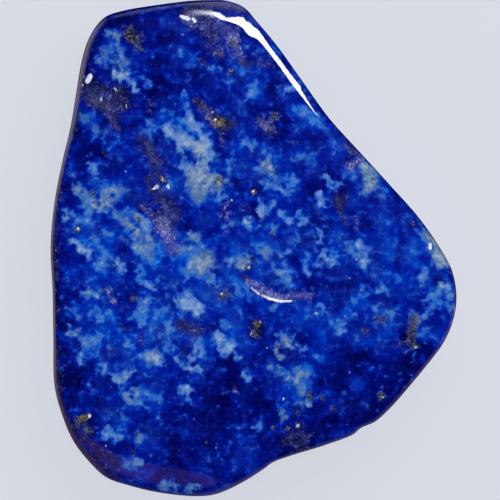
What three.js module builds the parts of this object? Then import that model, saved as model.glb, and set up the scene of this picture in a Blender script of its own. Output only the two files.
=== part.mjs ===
// A flat, tumble-polished nugget of lapis lazuli, lying on its back.
// Millimetres, +Z up. The polished face looks along +Z, the narrow end points along +Y, and the origin is
// under the middle of the stone, on the surface that it rests on.
//
// The stone is one closed skin. Every point of it lies on a ray from the hub, which is a point inside the
// outline, towards the rim. Along a ray the skin runs over the face, rolls down a superelliptical edge to the
// outline at mid height, and returns under the stone to a small flat spot round the hub.
import * as THREE from "three";

// Driving dimensions
const LENGTH = 26; // along Y
const WIDTH = 21.2; // along X
const THICKNESS = 6;
const FACE_FALL = 0.22; // the face is this much lower at the edge than at the hub
const BACK_RISE = 0.8; // the back is this much higher at the edge than at the flat spot
const FLAT_SHARE = 0.42; // the flat spot reaches this share of the way from the hub to the rim
const FACE_TILT = 0.1; // the face is this much lower at the narrow end than at the middle
const BACK_EDGE_SHARE = 1.2; // the lower edge is rounded this much wider than the upper one,
const BACK_EDGE_MORE = 1.7; // and by this much more,
const BACK_EDGE_SWAY = 0.5; // which itself sways by this much, twice round the stone
const SWAY_START = 0.8; // from this angle, in radians
const RIM_SHARE = 0.5; // the outline's height, as a share of the thickness
const BACK_SLOPE = 1.1; // how steeply the lower edge sets off from the back

// The outline, anticlockwise seen from the front: x, y, the width over which the upper edge is rounded, how far
// that edge is a ground facet with a crease along the face (1) and not a plain rounding (0), and how steeply it
// sets off from the face.
const OUTLINE = [
  // narrow end
  [-1.5, 12.98, 1.1, 1.0, 0.6],
  [-2.15, 13, 1.05, 0.35, 1.1],
  [-3.3, 12.95, 1.0, 0.2, 1.1],
  [-5.2, 12.72, 1.3, 0.0, 1.1],
  [-6.8, 12.45, 1.3, 0.0, 1.1],
  [-7.75, 12.12, 1.1, 0.0, 1.1],
  // long, slightly hollow side
  [-8.3, 11.55, 0.9, 0.0, 1.1],
  [-8.75, 10.7, 0.8, 0.0, 1.1],
  [-9.05, 9.6, 0.75, 0.0, 1.1],
  [-9.3, 8.1, 0.7, 0.0, 1.1],
  [-9.6, 6.3, 0.65, 0.0, 1.1],
  [-10.0, 4.6, 0.6, 0.0, 1.1],
  [-10.42, 2.4, 0.5, 0.0, 1.1],
  [-10.62, 0.1, 0.45, 0.0, 1.1],
  [-10.52, -2.2, 0.45, 0.0, 1.1],
  [-10.48, -4.6, 0.45, 0.0, 1.1],
  [-10.43, -7.1, 0.5, 0.1, 1.1],
  // heavy corner, with the widest ground edge
  [-10.1, -8.5, 0.6, 0.3, 1.1],
  [-9.5, -10.0, 0.8, 0.6, 0.95],
  [-8.75, -11.05, 1.1, 0.9, 0.7],
  [-7.75, -12.0, 1.35, 1.0, 0.55],
  [-6.5, -12.45, 1.45, 1.0, 0.5],
  [-4.9, -12.82, 1.45, 1.0, 0.5],
  [-3.0, -13.0, 1.3, 1.0, 0.56],
  [-1.95, -12.87, 0.9, 0.8, 0.8],
  // stepped side, with a notch near its middle and a chip further on
  [-0.6, -12.25, 0.55, 0.4, 1.1],
  [0.55, -11.52, 0.45, 0.3, 1.1],
  [1.0, -11.19, 0.4, 0.3, 1.1],
  [2.0, -10.82, 0.4, 0.4, 1.1],
  [3.7, -10.3, 0.4, 0.5, 1.2],
  [5.2, -9.73, 0.35, 0.5, 1.2],
  [5.6, -9.4, 0.35, 0.5, 1.2],
  [6.36, -9.06, 0.35, 0.6, 1.2],
  [7.2, -8.3, 0.35, 0.7, 1.2],
  [8.05, -7.34, 0.35, 0.7, 1.2],
  [9.1, -6.07, 0.35, 0.7, 1.2],
  // blunt corner
  [9.9, -5.0, 0.35, 0.7, 1.2],
  [10.4, -3.9, 0.35, 0.7, 1.2],
  [10.62, -2.6, 0.35, 0.8, 1.2],
  [10.4, -1.2, 0.4, 0.9, 1.2],
  [9.78, 0.0, 0.45, 1.0, 1.2],
  // straight side, back to the narrow end
  [8.68, 1.58, 0.45, 1.0, 1.2],
  [7.15, 3.3, 0.4, 1.0, 1.2],
  [5.45, 5.15, 0.35, 1.0, 1.2],
  [3.98, 6.77, 0.4, 1.0, 0.9],
  [2.6, 8.67, 0.53, 1.0, 0.36],
  [1.27, 10.53, 0.58, 1.0, 0.38],
  [0.2, 11.82, 0.64, 1.0, 0.35],
  [-0.5, 12.6, 0.98, 1.0, 0.4],
];
const HUB = { x: -1.2, y: -0.8 };

// Pits and pores in the face where softer grains have come out: centre, half length, half width, turn in
// degrees, and depth.
const PITS = [
  { x: -7.7, y: 7.85, long: 1.5, wide: 0.75, turn: -18, deep: 0.1 },
  { x: -7.2, y: 6.55, long: 0.75, wide: 0.4, turn: -55, deep: 0.05 },
  { x: -5.0, y: 4.9, long: 1.1, wide: 0.5, turn: -60, deep: 0.08 },
  { x: -4.4, y: 1.7, long: 1.3, wide: 0.9, turn: -70, deep: 0.16 },
  { x: -2.2, y: 7.0, long: 1.1, wide: 0.55, turn: -50, deep: 0.1 },
  { x: -2.2, y: 11.0, long: 1.5, wide: 0.8, turn: -50, deep: 0.12 },
  { x: 0.6, y: 6.5, long: 0.75, wide: 0.6, turn: -30, deep: 0.08 },
  { x: 1.1, y: -2.3, long: 1.6, wide: 0.6, turn: -15, deep: 0.1 },
  { x: 5.2, y: 4.4, long: 0.8, wide: 0.5, turn: -50, deep: 0.06 },
  { x: -3.2, y: -4.3, long: 0.9, wide: 0.65, turn: -20, deep: 0.1 },
  { x: 0.0, y: -4.2, long: 0.6, wide: 0.5, turn: 30, deep: 0.12 },
  { x: 2.2, y: -9.2, long: 0.9, wide: 0.6, turn: 60, deep: 0.1 },
];

// Facets
const AROUND = 132; // columns round the stone
const FACE_ROWS = 13;
const EDGE_ROWS = 6; // on each of the upper and the lower edge
const BACK_ROWS = 5;
const FLAT_ROWS = 2;
const ROWS = FACE_ROWS + 2 * EDGE_ROWS + BACK_ROWS + FLAT_ROWS;

/** The upper edge's crease and slope at a curve parameter from 0 to 1, changing evenly between points. */
function edgeAt(t) {
  const place = t * OUTLINE.length;
  const before = Math.floor(place);
  const [here, next] = [before, before + 1].map((i) => OUTLINE[i % OUTLINE.length].slice(3));
  const [crease, slope] = here.map((value, i) => THREE.MathUtils.lerp(value, next[i], place - before));
  return { crease, slope };
}

/** The outline as AROUND + 1 evenly spaced points, brought to LENGTH by WIDTH about the origin. */
function outlinePoints() {
  const control = OUTLINE.map(([x, y, edge]) => new THREE.Vector3(x, y, edge));
  const curve = new THREE.CatmullRomCurve3(control, true, "centripetal");
  curve.arcLengthDivisions = 2000;
  const points = curve.getSpacedPoints(AROUND);
  const box = new THREE.Box3().setFromPoints(points);
  const middle = box.getCenter(new THREE.Vector3());
  const size = box.getSize(new THREE.Vector3());
  for (const point of points) {
    point.x = ((point.x - middle.x) * WIDTH) / size.x;
    point.y = ((point.y - middle.y) * LENGTH) / size.y;
  }
  const edges = points.map((_, i) => edgeAt(curve.getUtoTmapping(i / AROUND)));
  return { points, edges };
}

/** The powers of the superellipse that an edge follows, so that it sets off from the face at its slope. */
function edgePowers(width, crease, slope) {
  const out = 2 - crease;
  return { out, up: Math.max(2, (out * THICKNESS * RIM_SHARE) / (width * slope)) };
}

/** How far the rim is from the hub in each column, in which direction, and how its two edges are rounded. */
function rimColumns() {
  const { points, edges } = outlinePoints();
  return points.map((point, i) => {
    const before = points[(i + AROUND - 1) % AROUND];
    const after = points[(i + 1) % AROUND];
    const ray = new THREE.Vector2(point.x - HUB.x, point.y - HUB.y);
    const reach = ray.length();
    ray.normalize();
    const outward = new THREE.Vector2(after.y - before.y, before.x - after.x).normalize();
    // An edge of even width across the outline takes more of a ray that meets the outline at a slant.
    const edge = point.z / Math.max(ray.dot(outward), 0.5);
    const sway = BACK_EDGE_SWAY * Math.sin(2 * ray.angle() + SWAY_START);
    const backEdge = edge * BACK_EDGE_SHARE + BACK_EDGE_MORE + sway;
    const powers = edgePowers(edge, edges[i].crease, edges[i].slope);
    return { ray, reach, edge, powers, backEdge, backPowers: edgePowers(backEdge, 0, BACK_SLOPE) };
  });
}

/** How deep the pits cut below the polished face at a place: each is a smooth bowl over an ellipse. */
function pitDepth(x, y) {
  let depth = 0;
  for (const pit of PITS) {
    const turn = THREE.MathUtils.degToRad(pit.turn);
    const dx = x - pit.x;
    const dy = y - pit.y;
    const along = (dx * Math.cos(turn) + dy * Math.sin(turn)) / pit.long;
    const across = (dy * Math.cos(turn) - dx * Math.sin(turn)) / pit.wide;
    const inside = Math.max(0, 1 - along * along - across * across);
    depth = Math.max(depth, pit.deep * inside * inside);
  }
  return depth;
}

/** The height of the face at a place and its share of the way to the rim: a very low dome with pits. */
function faceHeight(x, y, share) {
  const tilt = (FACE_TILT * Math.max(0, y)) / (LENGTH / 2);
  return THICKNESS - FACE_FALL * share ** 3 - tilt - pitDepth(x, y);
}

/** The height of the back at a share of the way to the rim: flat at first, and then a shallow bowl. */
function backHeight(share) {
  const beyond = Math.max(0, (share - FLAT_SHARE) / (1 - FLAT_SHARE));
  return BACK_RISE * beyond * beyond;
}

/** A point of an edge, as shares of its width outwards and its height, for a turn from 0 at the face to 1. */
function edgePoint(turn, powers) {
  const angle = (turn * Math.PI) / 2;
  return {
    out: Math.sin(angle) ** (2 / powers.out),
    up: Math.max(Math.cos(angle), 0) ** (2 / powers.up),
  };
}

/** The skin's point in a column and a row. Rows run from the face's hub, over the rim, to the hub below. */
function skinPoint(column, row) {
  const rimHeight = THICKNESS * RIM_SHARE;
  const onFront = row <= FACE_ROWS + EDGE_ROWS;
  let radius;
  let up = 1;
  if (row <= FACE_ROWS) {
    radius = ((column.reach - column.edge) * row) / FACE_ROWS;
  } else if (onFront) {
    const edge = edgePoint((row - FACE_ROWS) / EDGE_ROWS, column.powers);
    radius = column.reach - column.edge * (1 - edge.out);
    up = edge.up;
  } else if (row <= FACE_ROWS + 2 * EDGE_ROWS) {
    const edge = edgePoint((FACE_ROWS + 2 * EDGE_ROWS - row) / EDGE_ROWS, column.backPowers);
    radius = column.reach - column.backEdge * (1 - edge.out);
    up = edge.up;
  } else if (row <= ROWS - FLAT_ROWS) {
    const share = (ROWS - FLAT_ROWS - row) / BACK_ROWS;
    const flat = column.reach * FLAT_SHARE;
    radius = THREE.MathUtils.lerp(flat, column.reach - column.backEdge, share);
  } else {
    radius = (column.reach * FLAT_SHARE * (ROWS - row)) / FLAT_ROWS;
  }
  const x = HUB.x + column.ray.x * radius;
  const y = HUB.y + column.ray.y * radius;
  const share = radius / column.reach;
  const surface = onFront ? faceHeight(x, y, share) : backHeight(share);
  return new THREE.Vector3(x, y, rimHeight + (surface - rimHeight) * up);
}

/** The stone: a sphere whose columns and rows are moved onto the skin. */
function stoneGeometry() {
  const geometry = new THREE.SphereGeometry(1, AROUND, ROWS);
  const columns = rimColumns();
  const position = geometry.getAttribute("position");
  for (let i = 0; i < position.count; i++) {
    const column = columns[i % (AROUND + 1) % AROUND];
    const row = Math.floor(i / (AROUND + 1));
    const point = skinPoint(column, row);
    position.setXYZ(i, point.x, point.y, point.z);
  }
  geometry.computeVertexNormals();
  return geometry;
}

const polishedLapis = new THREE.MeshStandardMaterial({
  name: "polished_lapis",
  color: new THREE.Color().setRGB(0.02, 0.08, 0.48, THREE.SRGBColorSpace),
  roughness: 0.15,
  metalness: 0,
});

const stone = new THREE.Mesh(stoneGeometry(), polishedLapis);
stone.name = "lapis_stone";

const nugget = new THREE.Group();
nugget.name = "lapis_lazuli_nugget";
nugget.add(stone);

export default nugget;
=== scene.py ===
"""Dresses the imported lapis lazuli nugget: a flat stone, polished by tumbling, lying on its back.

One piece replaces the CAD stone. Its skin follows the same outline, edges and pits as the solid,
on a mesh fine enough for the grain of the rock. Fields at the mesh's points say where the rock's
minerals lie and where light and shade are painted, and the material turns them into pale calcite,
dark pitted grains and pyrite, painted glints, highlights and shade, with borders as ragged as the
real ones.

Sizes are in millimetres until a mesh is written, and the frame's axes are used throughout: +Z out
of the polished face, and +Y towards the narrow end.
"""

import logging
import math
from dataclasses import dataclass, field
from enum import Enum

import bpy
import numpy as np
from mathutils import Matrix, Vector
from numpy.typing import NDArray


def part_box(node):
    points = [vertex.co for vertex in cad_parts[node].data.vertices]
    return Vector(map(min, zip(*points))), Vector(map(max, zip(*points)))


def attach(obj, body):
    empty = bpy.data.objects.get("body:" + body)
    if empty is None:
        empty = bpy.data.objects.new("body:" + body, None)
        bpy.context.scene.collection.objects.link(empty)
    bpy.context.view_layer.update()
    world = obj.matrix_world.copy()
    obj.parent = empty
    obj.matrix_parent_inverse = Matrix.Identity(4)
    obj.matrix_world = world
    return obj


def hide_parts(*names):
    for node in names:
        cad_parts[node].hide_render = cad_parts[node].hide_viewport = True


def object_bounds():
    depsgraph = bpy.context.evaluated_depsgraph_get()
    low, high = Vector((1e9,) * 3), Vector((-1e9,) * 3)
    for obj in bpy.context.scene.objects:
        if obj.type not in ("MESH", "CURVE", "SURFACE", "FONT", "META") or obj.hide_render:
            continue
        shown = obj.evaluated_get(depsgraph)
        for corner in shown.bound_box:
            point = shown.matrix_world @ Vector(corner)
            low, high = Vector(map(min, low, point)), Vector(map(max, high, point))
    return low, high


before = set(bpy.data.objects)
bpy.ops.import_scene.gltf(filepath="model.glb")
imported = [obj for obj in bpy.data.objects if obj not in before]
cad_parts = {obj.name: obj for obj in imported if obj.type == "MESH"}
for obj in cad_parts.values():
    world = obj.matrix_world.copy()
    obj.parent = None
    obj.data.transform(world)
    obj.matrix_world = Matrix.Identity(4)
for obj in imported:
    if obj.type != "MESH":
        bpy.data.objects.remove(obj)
cad_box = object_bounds()

log = logging.getLogger("lapis")

MM = 0.001
NODE = "lapis_stone"

Array = NDArray[np.float64]
Indices = NDArray[np.int64]
Node = bpy.types.Node
Socket = bpy.types.NodeSocket
Vector3 = tuple[float, float, float]
Colour = tuple[float, float, float, float]
Ramp = tuple[tuple[float, Colour], ...]  # places from 0 to 1, each with its colour
Limits = tuple[float, float]  # where a step starts and where it ends
Shares = tuple[tuple[str, float], ...]  # how much of each of the grain's structures is added
Streak = tuple  # half width in mm, strength, and then the (x, y) points that it runs through

LATTICE_SIDE = 32  # corners on a side of the noise's lattice, after which it repeats
LATTICE_TURN = np.array([[0.36, 0.48, -0.8], [-0.8, 0.6, 0.0], [0.48, 0.64, 0.6]])
OCTAVE_SHIFT = 7.3  # how far each finer lattice is moved, so that the corners don't coincide
TINY = 1e-9  # keeps a length that may be nothing from being divided by
MIX_INPUTS = (0, 6, 7)  # where the Mix node takes the share and the two colours
MIX_OUTPUT = 2  # where it gives their blend
MIDDLE = 0.5  # the value that the structures of the rock's grain vary round


# -------------------------------------------------------------------------------------------------
# Numbers that repeat: smooth steps, and noise over space
# -------------------------------------------------------------------------------------------------


def smooth_step(values: Array, low: float, high: float) -> Array:
    """Rises from 0 at low to 1 at high as 3t squared less 2t cubed of the share t of the way."""
    share = np.clip((values - low) / (high - low), 0.0, 1.0)
    return share * share * (3.0 - 2.0 * share)


def cloud(points: Array, cell: float, seed: int, octaves: int = 3) -> Array:
    """Seeded value noise over space, between about -1 and 1.

    Random numbers stand on the corners of a cubic lattice, and a point takes the blend of its
    cell's eight corners with smoothed weights. Each octave turns the lattice, halves its cell and
    adds half as much.

    Args:
        points: N x 3 places in mm.
        cell: Size of the largest cell in mm.
        seed: What the random numbers start from.
        octaves: How many sizes of cell are added.

    Returns:
        N values.
    """
    random = np.random.default_rng(seed)
    total = np.zeros(len(points))
    scale = 0.0
    place = points / cell
    for octave in range(octaves):
        lattice = random.uniform(-1.0, 1.0, (LATTICE_SIDE,) * 3)
        place = place @ LATTICE_TURN.T
        low = np.floor(place)
        share = smooth_step(place - low, 0.0, 1.0)
        corner = low.astype(int)
        value = np.zeros(len(points))
        for step in np.ndindex(2, 2, 2):
            i, j, k = ((corner + step) % LATTICE_SIDE).T
            weight = np.prod(np.where(step, share, 1.0 - share), axis=1)
            value += weight * lattice[i, j, k]
        total += value * 0.5**octave
        scale += 0.5**octave
        place = place * 2.0 + OCTAVE_SHIFT
    return total / scale


def warp(points: Array, cell: float, reach: float, seed: int) -> Array:
    """Moves points by smooth noise of up to reach mm, so that what is laid over them is uneven."""
    shift = np.stack([cloud(points, cell, seed + axis) for axis in range(3)], axis=1)
    return points + reach * shift


# -------------------------------------------------------------------------------------------------
# The stone's shape
# -------------------------------------------------------------------------------------------------

# The outline, anticlockwise seen from the front: x, y, the width over which the upper edge is
# rounded, how far that edge is a ground facet with a crease along the face (1) and not a plain
# rounding (0), and how steeply it sets off.
OUTLINE = (
    # narrow end
    (-1.5, 12.98, 1.1, 1.0, 0.6),
    (-2.15, 13.0, 1.05, 0.35, 1.1),
    (-3.3, 12.95, 1.0, 0.2, 1.1),
    (-5.2, 12.72, 1.3, 0.0, 1.1),
    (-6.8, 12.45, 1.3, 0.0, 1.1),
    (-7.75, 12.12, 1.1, 0.0, 1.1),
    # long, slightly hollow side
    (-8.3, 11.55, 0.9, 0.0, 1.1),
    (-8.75, 10.7, 0.8, 0.0, 1.1),
    (-9.05, 9.6, 0.75, 0.0, 1.1),
    (-9.3, 8.1, 0.7, 0.0, 1.1),
    (-9.6, 6.3, 0.65, 0.0, 1.1),
    (-10.0, 4.6, 0.6, 0.0, 1.1),
    (-10.42, 2.4, 0.5, 0.0, 1.1),
    (-10.62, 0.1, 0.45, 0.0, 1.1),
    (-10.52, -2.2, 0.45, 0.0, 1.1),
    (-10.48, -4.6, 0.45, 0.0, 1.1),
    (-10.43, -7.1, 0.5, 0.1, 1.1),
    # heavy corner, with the widest ground edge
    (-10.1, -8.5, 0.6, 0.3, 1.1),
    (-9.5, -10.0, 0.8, 0.6, 0.95),
    (-8.75, -11.05, 1.1, 0.9, 0.7),
    (-7.75, -12.0, 1.35, 1.0, 0.55),
    (-6.5, -12.45, 1.45, 1.0, 0.5),
    (-4.9, -12.82, 1.45, 1.0, 0.5),
    (-3.0, -13.0, 1.3, 1.0, 0.56),
    (-1.95, -12.87, 0.9, 0.8, 0.8),
    # stepped side, with a notch near its middle and a chip further on
    (-0.6, -12.25, 0.55, 0.4, 1.1),
    (0.55, -11.52, 0.45, 0.3, 1.1),
    (1.0, -11.19, 0.4, 0.3, 1.1),
    (2.0, -10.82, 0.4, 0.4, 1.1),
    (3.7, -10.3, 0.4, 0.5, 1.2),
    (5.2, -9.73, 0.35, 0.5, 1.2),
    (5.6, -9.4, 0.35, 0.5, 1.2),
    (6.36, -9.06, 0.35, 0.6, 1.2),
    (7.2, -8.3, 0.35, 0.7, 1.2),
    (8.05, -7.34, 0.35, 0.7, 1.2),
    (9.1, -6.07, 0.35, 0.7, 1.2),
    # blunt corner
    (9.9, -5.0, 0.35, 0.7, 1.2),
    (10.4, -3.9, 0.35, 0.7, 1.2),
    (10.62, -2.6, 0.35, 0.8, 1.2),
    (10.4, -1.2, 0.4, 0.9, 1.2),
    (9.78, 0.0, 0.45, 1.0, 1.2),
    # straight side, back to the narrow end
    (8.68, 1.58, 0.45, 1.0, 1.2),
    (7.15, 3.3, 0.4, 1.0, 1.2),
    (5.45, 5.15, 0.35, 1.0, 1.2),
    (3.98, 6.77, 0.4, 1.0, 0.9),
    (2.6, 8.67, 0.53, 1.0, 0.36),
    (1.27, 10.53, 0.58, 1.0, 0.38),
    (0.2, 11.82, 0.64, 1.0, 0.35),
    (-0.5, 12.6, 0.98, 1.0, 0.4),
)

# Pits in the face where softer grains have come out: centre, half length, half width, turn in
# degrees, and depth.
PITS = (
    (-7.7, 7.85, 1.5, 0.75, -18.0, 0.1),
    (-7.2, 6.55, 0.75, 0.4, -55.0, 0.05),
    (-5.0, 4.9, 1.1, 0.5, -60.0, 0.08),
    (-4.4, 1.7, 1.3, 0.9, -70.0, 0.16),
    (-2.2, 7.0, 1.1, 0.55, -50.0, 0.1),
    (-2.2, 11.0, 1.5, 0.8, -50.0, 0.12),
    (0.6, 6.5, 0.75, 0.6, -30.0, 0.08),
    (1.1, -2.3, 1.6, 0.6, -15.0, 0.1),
    (5.2, 4.4, 0.8, 0.5, -50.0, 0.06),
    (-3.2, -4.3, 0.9, 0.65, -20.0, 0.1),
    (0.0, -4.2, 0.6, 0.5, 30.0, 0.12),
    (2.2, -9.2, 0.9, 0.6, 60.0, 0.1),
)


@dataclass(frozen=True)
class Rim:
    """The outline about the hub, as columns that run outwards from the hub."""

    angle: Array
    reach: Array
    edge: Array
    crease: Array
    slope: Array

    def at(self, angle: Array) -> tuple[Array, Array, Array, Array]:
        """How far the rim is at any angles, its edge's width along the ray, crease and slope."""
        columns = (self.reach, self.edge, self.crease, self.slope)
        return tuple(np.interp(angle, self.angle, part, period=2.0 * math.pi) for part in columns)


@dataclass
class StoneForm:
    """The stone's sizes in mm, and the surfaces that they make."""

    width: float
    length: float
    thickness: float
    hub: tuple[float, float] = (-1.2, -0.8)
    rim_share: float = 0.5
    face_fall: float = 0.22
    face_tilt: float = 0.1
    face_swell: float = 0.025
    swell_cell: float = 5.0
    swell_seed: int = 11
    back_rise: float = 0.8
    flat_share: float = 0.42
    back_edge_share: float = 1.2
    back_edge_more: float = 1.7
    back_edge_sway: float = 0.5
    sway_start: float = 0.8
    back_slope: float = 1.1
    least_cosine: float = 0.5
    per_span: int = 24
    rim: Rim = field(init=False)

    def __post_init__(self) -> None:
        """Works out the outline once, for all the surfaces."""
        self.rim = self.make_rim()

    def outline(self) -> Array:
        """A closed centripetal Catmull-Rom curve through OUTLINE, brought to the frame's size.

        Between two points the curve is the cubic that leaves and reaches them along the slopes of
        the parabolas through each point and its neighbours, where a step of the parameter is the
        square root of the distance.

        Returns:
            N x 5 rows as OUTLINE's. The edge's crease and slope change evenly between its points.
        """
        here = np.array(OUTLINE)
        before, after, beyond = (np.roll(here, -step, axis=0) for step in (-1, 1, 2))

        def step_between(a: Array, b: Array) -> Array:
            """The parameter's step from each point of a to that of b."""
            return np.sqrt(np.linalg.norm((b - a)[:, :2], axis=1))[:, None]

        ahead = after - here
        first, middle = step_between(before, here), step_between(here, after)
        last = step_between(after, beyond)
        leaving = (here - before) / first - (after - before) / (first + middle) + ahead / middle
        arriving = ahead / middle - (beyond - here) / (middle + last) + (beyond - after) / last
        leaving, arriving = leaving * middle, arriving * middle
        square = 3.0 * ahead - 2.0 * leaving - arriving
        cube = -2.0 * ahead + leaving + arriving
        t = (np.arange(self.per_span) / self.per_span)[None, :, None]
        curve = here[:, None] + leaving[:, None] * t + square[:, None] * t**2 + cube[:, None] * t**3
        curve[:, :, 3:] = here[:, None, 3:] + ahead[:, None, 3:] * t
        curve = curve.reshape(-1, here.shape[1])
        low, high = curve[:, :2].min(axis=0), curve[:, :2].max(axis=0)
        size = [self.width, self.length]
        curve[:, :2] = (curve[:, :2] - (low + high) / 2.0) * size / (high - low)
        return curve

    def make_rim(self) -> Rim:
        """The outline in polar form about the hub.

        An edge of even width across the outline takes more of a ray that meets the outline at a
        slant, so the width is divided by the cosine of that slant.

        Returns:
            The rim's columns.
        """
        curve = self.outline()
        ray = curve[:, :2] - self.hub
        reach = np.linalg.norm(ray, axis=1)
        ray = ray / reach[:, None]
        along = np.roll(curve, -1, axis=0)[:, :2] - np.roll(curve, 1, axis=0)[:, :2]
        outward = np.stack([along[:, 1], -along[:, 0]], axis=1)
        outward = outward / np.linalg.norm(along, axis=1)[:, None]
        cosine = np.maximum((ray * outward).sum(axis=1), self.least_cosine)
        angle = np.arctan2(ray[:, 1], ray[:, 0])
        order = np.argsort(angle)
        edge = curve[:, 2] / cosine
        return Rim(angle[order], reach[order], edge[order], curve[order, 3], curve[order, 4])

    def pit_depth(self, x: Array, y: Array) -> Array:
        """How deep the pits cut: bowls over ellipses, as the square of 1 less the radius squared.

        Args:
            x: Places across the face.
            y: Places along it.

        Returns:
            The depth at each place.
        """
        depth = np.zeros_like(x)
        for centre_x, centre_y, long, wide, turn, deep in PITS:
            cosine, sine = math.cos(math.radians(turn)), math.sin(math.radians(turn))
            along = ((x - centre_x) * cosine + (y - centre_y) * sine) / long
            across = ((y - centre_y) * cosine - (x - centre_x) * sine) / wide
            inside = np.maximum(0.0, 1.0 - along**2 - across**2)
            depth = np.maximum(depth, deep * inside**2)
        return depth

    def face_height(self, x: Array, y: Array, share: Array) -> Array:
        """The face: a very low dome, tilted down towards the narrow end, with swells and pits.

        Args:
            x: Places across the face.
            y: Places along it.
            share: How far each place is on the way from the hub to the rim.

        Returns:
            Heights above the floor.
        """
        flat = np.stack([x, y, np.zeros_like(x)], axis=1)
        swell = self.face_swell * (cloud(flat, self.swell_cell, self.swell_seed) - 1.0)
        tilt = self.face_tilt * np.maximum(0.0, y) / (self.length / 2.0)
        return self.thickness - self.face_fall * share**3 - tilt + swell - self.pit_depth(x, y)

    def back_height(self, share: Array) -> Array:
        """The back: flat round the hub, and beyond it a bowl that rises as the way squared."""
        beyond = np.maximum(0.0, (share - self.flat_share) / (1.0 - self.flat_share))
        return self.back_rise * beyond**2

    def place(self, share: Array, angle: Array, turn: Array, front: bool) -> Array:
        """Points of the skin on one side of the outline.

        Inside the edge the skin is the face or the back. Over the edge it is a superellipse:
        outwards goes as the sine of the turn, raised to 2 over the crease's power, and upwards as
        its cosine, raised to 2 over a power that makes the slope near the face the asked one. The
        crease's power is 2 for a rounding and 1 for a facet.

        Args:
            share: How far a point is on the way from the hub to the edge's start.
            angle: The point's direction from the hub.
            turn: How far round the edge it is, from 0 at its start to 1 at the outline.
            front: Whether it is on the face's side.

        Returns:
            N x 3 points in mm.
        """
        reach, edge, crease, slope = self.rim.at(angle)
        middle = self.thickness * self.rim_share
        if front:
            power = 2.0 - crease
        else:
            sway = self.back_edge_sway * np.sin(2.0 * angle + self.sway_start)
            edge = edge * self.back_edge_share + self.back_edge_more + sway
            power = np.full_like(edge, 2.0)
            slope = self.back_slope
        rise_power = np.maximum(2.0, power * middle / (edge * slope))
        quarter = turn * math.pi / 2.0
        out = np.sin(quarter) ** (2.0 / power)
        up = np.maximum(np.cos(quarter), 0.0) ** (2.0 / rise_power)
        radius = (reach - edge) * share + edge * out
        x = self.hub[0] + np.cos(angle) * radius
        y = self.hub[1] + np.sin(angle) * radius
        way = radius / reach
        surface = self.face_height(x, y, way) if front else self.back_height(way)
        return np.stack([x, y, middle + (surface - middle) * up], axis=1)


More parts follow.
